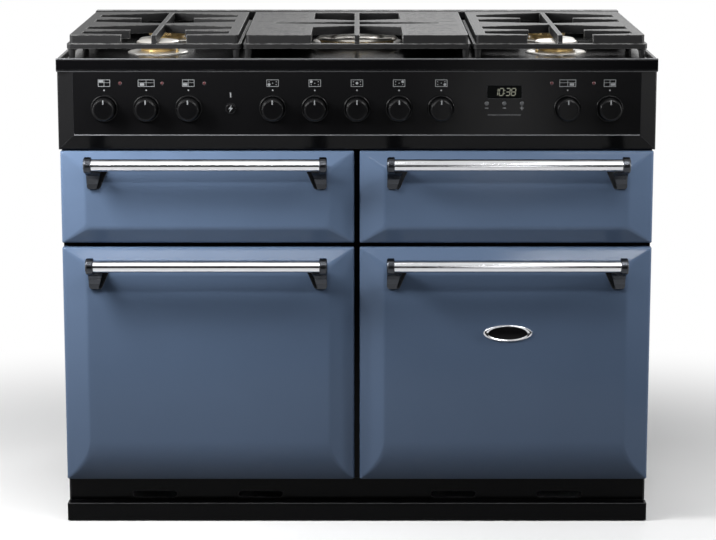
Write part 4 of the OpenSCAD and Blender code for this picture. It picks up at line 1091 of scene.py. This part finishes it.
@dataclass
class FasciaPrints:
    """The printed marks: a pictogram and a dot over each knob, and the ignition's line."""

    pitch: float = 76.5
    knob_slots: tuple[int, ...] = (-6, -5, -4, -2, -1, 0, 1, 2, 5, 6)
    ignition_slot: int = -3
    ignition_line: tuple[float, float] = (806.0, 815.0)
    dot_z: float = 819.0
    sign_z: float = 832.0
    sign_w: float = 22.0
    sign_h: float = 13.0
    line_w: float = 0.9

    def build(self) -> None:
        """Builds the prints as one piece."""
        ink = Shape()
        for slot in self.knob_slots:
            x = slot * self.pitch
            ink += self._dot(x, self.dot_z, 1.5)
            ink += self._burner_sign(x, slot) if abs(slot) <= 2 else self._oven_sign(x, slot)
        x, (low, high) = self.ignition_slot * self.pitch, self.ignition_line
        ink += Shape.bar(x - 1.2, low, x + 1.2, high)
        ink.piece("fascia_signs", INK, BODY, smooth=False)

    @staticmethod
    def _dot(x: float, z: float, r: float) -> Shape:
        """Makes a round print."""
        turns = [2 * math.pi * i / 14 for i in range(14)]
        return Shape.on_fascia([(x + r * math.cos(a), z + r * math.sin(a)) for a in turns])

    def _frame(self, x: float, width: float) -> Shape:
        """Makes the outline of a pictogram.

        Args:
            x: Its middle.
            width: Its width.

        Returns:
            The outline.
        """
        w, h, t = width / 2, self.sign_h / 2, self.line_w
        z = self.sign_z
        return (
            Shape.bar(x - w, z - h, x + w, z - h + t)
            + Shape.bar(x - w, z + h - t, x + w, z + h)
            + Shape.bar(x - w, z - h + t, x - w + t, z + h - t)
            + Shape.bar(x + w - t, z - h + t, x + w, z + h - t)
        )

    def _burner_sign(self, x: float, slot: int) -> Shape:
        """Makes the sign of a hob knob: five burners, the knob's own one larger.

        Args:
            x: Its middle.
            slot: The knob's place, counted from the middle knob.

        Returns:
            The sign.
        """
        places = {-2: (-6.5, -2.6), -1: (-6.5, 2.6), 0: (0.0, 0.0), 1: (6.5, 2.6), 2: (6.5, -2.6)}
        shape = self._frame(x, self.sign_w)
        for key, (dx, dz) in places.items():
            shape += self._dot(x + dx, self.sign_z + dz, 2.5 if key == slot else 0.9)
        return shape

    def _oven_sign(self, x: float, slot: int) -> Shape:
        """Makes the sign of an oven knob: four cavities, the knob's own one filled.

        Args:
            x: Its middle.
            slot: The knob's place, counted from the middle knob.

        Returns:
            The sign.
        """
        width = 30.0 if slot in (-5, 5) else self.sign_w
        places = {-6: (-1, 1), -5: (-1, -1), -4: (-1, -1), 5: (1, -1), 6: (1, -1)}
        sx, sz = places[slot]
        half, z = width / 2, self.sign_z
        shape = self._frame(x, width)
        shape += Shape.bar(x - 0.4, z - 5.4, x + 0.4, z + 5.4)
        shape += Shape.bar(x - half + 1, z + 0.6, x + half - 1, z + 1.2)
        cx = x + sx * width / 4
        cz = z + (3.2 if sz > 0 else -2.2)
        return shape + Shape.bar(cx - 4, cz - (1.6 if sz > 0 else 2.4), cx + 4, cz + 2.0)


@dataclass
class Clock:
    """The clock's lit digits, and the marks of its buttons."""

    x: float = 267.75
    z: float = 816.0
    digit_w: float = 7.2
    digit_h: float = 13.0
    stroke: float = 1.5
    slant: float = 0.12
    button_z: float = 795.0
    pitch: float = 32.0
    digits: str = "1038"
    digit_xs: tuple[float, ...] = (-15.5, -5.5, 6.5, 16.5)
    mark_drop: float = 8.5
    rule_z: float = 774.0

    def build(self) -> None:
        """Builds the digits and the marks."""
        lit = Shape()
        for mark, dx in zip(self.digits, self.digit_xs):
            lit += self._digit(mark, self.x + dx)
        for dz in (-2.6, 2.6):
            lit += self._mark(self.x + 0.4, self.z + dz, 0.8, 0.8)
        lit.piece("clock_digits", DIGITS, BODY, smooth=False)
        marks = Shape()
        mark_z = self.button_z - self.mark_drop
        for i in (-1, 0, 1):
            marks += self._on_face(self.x + i * self.pitch, mark_z, 3.4, 0.5)
        marks += self._on_face(self.x + self.pitch, mark_z, 0.5, 3.4)
        marks += self._on_face(self.x, self.rule_z, 30, 0.35)
        marks.piece("clock_marks", INK, BODY, smooth=False)

    def _mark(self, x: float, z: float, half_w: float, half_h: float) -> Shape:
        """Makes a slanted rectangle just in front of the clock's window.

        Args:
            x: Its middle.
            z: The height of its middle.
            half_w: Half its width.
            half_h: Half its height.

        Returns:
            The rectangle.
        """
        corners = ((-half_w, -half_h), (half_w, -half_h), (half_w, half_h), (-half_w, half_h))
        rings = [
            [at(x + dx + self.slant * (z + dz - self.z), d, z + dz) for dx, dz in corners]
            for d in (-0.5, -0.38)
        ]
        return Shape.lofted(rings)

    @staticmethod
    def _on_face(x: float, z: float, half_w: float, half_h: float) -> Shape:
        """Makes a printed rectangle on the fascia."""
        return Shape.bar(x - half_w, z - half_h, x + half_w, z + half_h)

    def _digit(self, mark: str, x: float) -> Shape:
        """Makes a seven-segment digit.

        Args:
            mark: The number to show.
            x: Its middle.

        Returns:
            Its lit segments.
        """
        w, h, t = self.digit_w / 2, self.digit_h / 2, self.stroke / 2
        places = {
            "a": (0, h, w - t, t),
            "g": (0, 0, w - t, t),
            "d": (0, -h, w - t, t),
            "f": (-w, h / 2, t, h / 2 - t),
            "b": (w, h / 2, t, h / 2 - t),
            "e": (-w, -h / 2, t, h / 2 - t),
            "c": (w, -h / 2, t, h / 2 - t),
        }
        segments = {"0": "abcdef", "1": "bc", "3": "abcdg", "8": "abcdefg"}
        shape = Shape()
        for name in segments[mark]:
            dx, dz, half_w, half_h = places[name]
            shape += self._mark(x + dx, self.z + dz, half_w, half_h)
        return shape


@dataclass
class IgnitionMark:
    """The spark printed on the ignition button, which moves with the button."""

    x: float = -229.5
    z: float = 786.0
    front: float = -4.0

    def build(self) -> None:
        """Builds the spark."""
        outline = [
            (1.5, 6.6), (-4.2, -0.8), (-0.9, -0.8), (-2.6, -6.8), (4.2, 1.3), (0.8, 1.3),
        ]
        rings = [
            [at(self.x + dx, depth, self.z + dz) for dx, dz in outline]
            for depth in (self.front - 0.1, self.front + 0.05)
        ]
        Shape.lofted(rings).piece("ignition_spark", INK, "ignition_button", smooth=False)


@dataclass
class BurnerFittings:
    """Spark electrodes and flame sensors beside the burners."""

    side_x: float = 373.0
    depths: tuple[float, ...] = (165.0, 410.0)
    wok_depth: float = 307.0
    ring_z: float = 873.0

    def build(self) -> None:
        """Builds an electrode and a sensor at each burner."""
        ceramic, metal = Shape(), Shape()
        spots = [(sx * self.side_x, d, 46.0, sx) for sx in (-1, 1) for d in self.depths]
        spots.append((0.0, self.wok_depth, 59.5, 1))
        for x, depth, reach, sx in spots:
            lift = 3.0 if reach > 50 else 0.0
            for turn, is_spark in ((35, True), (-35, False)):
                a = math.radians(turn if sx < 0 else 180 - turn)
                centre = at(x + reach * math.cos(a), depth + reach * math.sin(a), self.ring_z)
                if is_spark:
                    body = [(2.9, 0), (2.9, 9 - lift), (2.2, 11 - lift), (1.2, 12.5 - lift)]
                    ceramic += Shape.turned(body, centre, Facing.UP, 16)
                    pin = [(0.7, 12 - lift), (0.7, 15.5 - lift)]
                else:
                    pin = [(3.0, 0), (3.0, 5), (1.7, 6), (1.7, 14 - lift), (1.0, 15.5 - lift)]
                metal += Shape.turned(pin, centre, Facing.UP, 12)
        ceramic.piece("spark_electrodes", CERAMIC, BODY)
        metal.piece("flame_sensors", BRASS, BODY, "burner_brass")


@dataclass
class Fasteners:
    """Pan-head screws that hold the rear panel."""

    half_w: float = 530.0
    low: float = 60.0
    high: float = 840.0
    back: float = 608.0

    def build(self) -> None:
        """Builds a row of screws round the rear panel's edge."""
        spots = [(sx * self.half_w, z) for sx in (-1, 1) for z in (90, 280, 470, 660, 820)]
        spots += [(x, z) for x in (-350, -120, 120, 350) for z in (self.low, self.high)]
        heads = Shape()
        outline = [
            (4.2, 0.0), (4.2, 1.0), (3.6, 1.9), (2.2, 2.3), (1.6, 2.3), (1.2, 1.1), (0.3, 1.1),
        ]
        sunk = [(r, level - 2.4) for r, level in outline]
        for x, z in spots:
            heads += Shape.turned(sunk, at(x, self.back + 0.1, z), Facing.BACK, 14)
        heads.piece("rear_screws", ZINC, BODY, "zinc_steel")


@dataclass
class Dressing:
    """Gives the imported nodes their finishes; the bar's sizes are in metres, as boxes are."""

    nodes: dict[str, bpy.types.Object]
    coats: tuple[tuple[Finish, str], ...] = (
        (BLACK, "base_chassis side_panels front_frame plinth hob_tray flue_vent"),
        (ZINC, "levelling_feet back_panel grill_housing drawer_housing hinge_brackets"),
        (ZINC, "fan_motors taps_and_switches left_fan right_fan grill_carrier drawer_box"),
        (OVEN, "left_oven_liner right_oven_liner left_door_liner right_door_liner"),
        (OVEN, "fan_covers grill_pan"),
        (SEAL, "oven_seals"),
        (WIRE, "oven_racks grill_rack"),
        (SHEATH, "heating_elements"),
        (ALLOY, "burner_bases"),
        (BRASS, "burner_heads"),
        (CAP, "burner_caps"),
        (FASCIA, "control_fascia"),
        (KNOB, "knob_bezels ignition_button"),
        (LENS, "neon_lenses"),
        (WINDOW, "clock_module"),
        (CLOCK_GREY, "clock_button_left clock_button_middle clock_button_right"),
        (NYLON, "rear_rollers"),
        (IRON, "pan_support_left pan_support_middle pan_support_right"),
        (BLUE, "left_door_skin right_door_skin grill_front drawer_front"),
    )
    handles: tuple[str, ...] = (
        "left_door_handle", "right_door_handle", "grill_handle", "drawer_handle",
    )
    bar_half: float = 0.206
    bar_r: float = 0.0115
    bar_inset: float = 0.015
    knob_face: float = -28.0

    def dress(self) -> None:
        """Dresses every node."""
        for finish, names in self.coats:
            for name in names.split():
                self._coat(name, finish)
        for name in self.handles:
            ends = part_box(name)
            # The handles' ends take the darkened chrome, painted shade; the bar takes the bright
            # chrome.
            self._coat(name, SHADED_CHROME, CHROME, lambda c, ends=ends: self._on_bar(c, *ends))
        for i in range(1, 11):
            self._coat(
                f"knob_{i}", KNOB, INK, lambda c: c.y < at(0, self.knob_face - 0.05, 0).y
            )

    def _on_bar(self, spot: Vector, low: Vector, high: Vector) -> bool:
        """Says whether a place is on the bright bar of a handle.

        Args:
            spot: The place, in the frame.
            low: The lowest corner of the handle's box.
            high: Its highest corner.

        Returns:
            Whether it is.
        """
        off_x = abs(spot.x - (low.x + high.x) / 2)
        off_y, off_z = spot.y - (low.y + self.bar_inset), spot.z - (high.z - self.bar_inset)
        return off_x < self.bar_half and math.hypot(off_y, off_z) < self.bar_r

    def _coat(
        self,
        name: str,
        finish: Finish,
        second: Finish | None = None,
        takes_second: Callable[[Vector], bool] | None = None,
    ) -> None:
        """Gives a node its finish, and some of its faces a second one.

        Args:
            name: The node's name.
            finish: Its finish.
            second: The finish of the chosen faces.
            takes_second: Says from a face's middle whether it takes the second finish.
        """
        mesh = self.nodes[name].data
        mesh.materials.clear()
        mesh.materials.append(finish.material())
        if second and takes_second:
            mesh.materials.append(second.material())
            picks = [int(takes_second(p.center)) for p in mesh.polygons]
            mesh.polygons.foreach_set("material_index", picks)
        else:
            mesh.polygons.foreach_set("material_index", [0] * len(mesh.polygons))
        mesh.update()
        LOG.info("dressed %s in %s", name, finish.name)


@dataclass
class Studio:
    """A pale floor, soft lamps and the photograph's camera."""

    floor_r: float = 1.5
    foot_half_x: float = 0.53
    foot_half_y: float = 0.29
    foot_middle_y: float = 0.03
    shadow_reach: float = 0.95
    camera_x: float = 1.9
    camera_distance: float = 4500.0
    camera_z: float = 1355.0
    pitch_deg: float = 10.92
    lens: float = 125.2

    def build(self) -> None:
        """Builds the stage, the lamps, the world and the camera."""
        self._floor()
        self._card()
        self._world()
        door = (-0.3, -0.27, 0.45)
        self._lamp("key_lamp", (-0.92, -0.68, 1.2), door, (0.3, 0.4), 13.5)
        self._lamp("left_lamp", (-1.7, -0.6, 1.2), door, (0.3, 0.5), 7.2)
        self._lamp("left_edge_lamp", (-1.9, -0.46, 0.9), door, (0.1, 0.5), 12.3)
        self._lamp("right_edge_lamp", (1.6, -0.44, 0.9), (0.4, -0.27, 0.5), (0.1, 0.5), 13.2)
        self._lamp("top_lamp", (-0.27, -0.62, 1.15), (-0.27, -0.27, 0.4), (0.7, 0.1), 1.1)
        self._lamp("right_top_lamp", (0.6, -0.78, 1.33), (0.4, -0.27, 0.4), (0.4, 0.15), 2.1)
        self._lamp("left_strip", (-0.3, -0.82, 0.95), (-0.3, -0.27, 0.515), (0.6, 0.04), 1.7)
        self._lamp("right_strip", (0.55, -1.05, 1.12), (0.4, -0.27, 0.515), (0.4, 0.04), 2.2)
        self._lamp("clock_glow", (0.36, -1.77, 0.59), (0.27, -0.27, 0.78), (0.2, 0.35), 0.7)
        self._lamp("rear_lamp", (0.6, 2.6, 2.3), (0.0, 0.3, 0.6), (1.6, 1.0), 26.0)
        self._camera()

    @staticmethod
    def _seen(s: Shader) -> Signal:
        """Marks the rays that see the background: camera, glossy and transmission rays.

        Args:
            s: The shader that needs the mark.

        Returns:
            The mark, 1 for those rays and 0 for all others.
        """
        rays = s.node("ShaderNodeLightPath", output="Is Camera Ray")
        outputs = rays.socket.node.outputs
        glossy = Signal(s, outputs["Is Glossy Ray"])
        through = Signal(s, outputs["Is Transmission Ray"])
        return rays.larger(glossy).larger(through)

    def _floor(self) -> None:
        """Builds the round pale floor, which keeps the cooker's shadow and fades to white."""
        outline = [(self.floor_r * 1000, -2.0), (self.floor_r * 1000, 0.0)]
        shape = Shape.turned(outline, Vector((0, 0, 0)), sides=96)
        s = Shader("studio_floor")
        x, y, _ = s.split(s.place())
        beyond_x = (x.absolute() - self.foot_half_x).larger(0)
        beyond_y = ((y - self.foot_middle_y).absolute() - self.foot_half_y).larger(0)
        away = ((beyond_x**2 + beyond_y**2) ** 0.5).step(0.0, self.shadow_reach)
        tone = s.mixed(s.noise(400, 2), linear(224, 224, 224), linear(232, 232, 232))
        matt = s.node("ShaderNodeBsdfDiffuse", {}, {"Color": tone})
        white = s.node("ShaderNodeEmission", {}, {"Color": (1, 1, 1, 1), "Strength": 1.0})
        shown = s.node("ShaderNodeMixShader", {}, {0: away, 1: matt, 2: white})
        dim = s.node("ShaderNodeBsdfDiffuse", {}, {"Color": linear(42, 42, 43)})
        both = s.node("ShaderNodeMixShader", {}, {0: self._seen(s), 1: dim, 2: shown})
        self._stage_object("floor", shape, s.ended(both))

    def _card(self) -> None:
        """Builds the dark card far behind the camera that gloss and chrome mirror."""
        rings = [
            [Vector((x, y, z)) for x, z in ((-5, -3.0), (12, -3.0), (12, 3.3), (-5, 3.3))]
            for y in (-9.0, -9.1)
        ]
        s = Shader("studio_card")
        tone = s.mixed(s.noise(900, 1), linear(10, 10, 10), linear(16, 16, 16))
        made = self._stage_object(
            "card", Shape.lofted(rings), s.finished(Base_Color=tone, Roughness=0.9)
        )
        made.visible_camera = False
        made.visible_diffuse = False

    @staticmethod
    def _stage_object(
        name: str, shape: Shape, material: bpy.types.Material
    ) -> bpy.types.Object:
        """Makes a shape part of the stage.

        Args:
            name: The object's name.
            shape: Its shape.
            material: Its material.

        Returns:
            The object.
        """
        mesh = shape.mesh(name)
        mesh.materials.append(material)
        made = bpy.data.objects.new(name, mesh)
        bpy.context.scene.collection.objects.link(made)
        return made

    def _world(self) -> None:
        """Makes the world white where it is seen and a soft grey where it lights."""
        world = bpy.data.worlds.new("studio")
        world.use_nodes = True
        bpy.context.scene.world = world
        s = Shader.__new__(Shader)
        s.material, s.tree = world, world.node_tree
        s.tree.nodes.clear()
        upward = s.split(s.node("ShaderNodeTexCoord", output="Generated"))[2]
        low, high = (0.003, 0.0032, 0.0034, 1), (0.076, 0.079, 0.084, 1)
        dome = s.mixed(upward.step(-0.5, 0.9), low, high)
        soft = s.node("ShaderNodeBackground", {}, {"Color": dome, "Strength": 1.0})
        white = s.node("ShaderNodeBackground", {}, {"Color": (1, 1, 1, 1), "Strength": 1.0})
        both = s.node("ShaderNodeMixShader", {}, {0: self._seen(s), 1: soft, 2: white})
        s.node("ShaderNodeOutputWorld", {}, {"Surface": both})

    @staticmethod
    def _lamp(
        name: str,
        place: tuple[float, float, float],
        target: tuple[float, float, float],
        size: tuple[float, float],
        watts: float,
    ) -> None:
        """Adds a soft rectangular lamp.

        Args:
            name: The lamp's name.
            place: Where it is, in metres.
            target: What it points at.
            size: Its width and height.
            watts: Its power.
        """
        data = bpy.data.lights.new(name, "AREA")
        data.shape = "RECTANGLE"
        data.size, data.size_y = size
        data.energy = watts
        lamp = bpy.data.objects.new(name, data)
        lamp.location = place
        ahead = Vector(target) - Vector(place)
        lamp.rotation_euler = ahead.to_track_quat("-Z", "Y").to_euler()
        lamp.visible_camera = False
        bpy.context.scene.collection.objects.link(lamp)

    def _camera(self) -> None:
        """Sets the camera where the photograph was taken from."""
        data = bpy.data.cameras.new("camera")
        data.lens = self.lens
        data.sensor_width = 36.0
        data.clip_end = 100.0
        made = bpy.data.objects.new("camera", data)
        made.location = at(self.camera_x, -self.camera_distance, self.camera_z)
        made.rotation_euler = (math.radians(90 - self.pitch_deg), 0.0, 0.0)
        bpy.context.scene.collection.objects.link(made)
        bpy.context.scene.camera = made


def main() -> None:
    """Builds and dresses the cooker."""
    logging.basicConfig(level=logging.INFO, format="%(name)s: %(message)s")
    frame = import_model()
    bpy.context.scene.view_settings.view_transform = "Standard"
    Studio().build()
    Dressing(frame["nodes"]).dress()
    Fronts().build()
    HandlePlates().build()
    FasciaTrim().build()
    FasciaPrints().build()
    Clock().build()
    IgnitionMark().build()
    BurnerFittings().build()
    Fasteners().build()


if __name__ == "__main__":
    main()
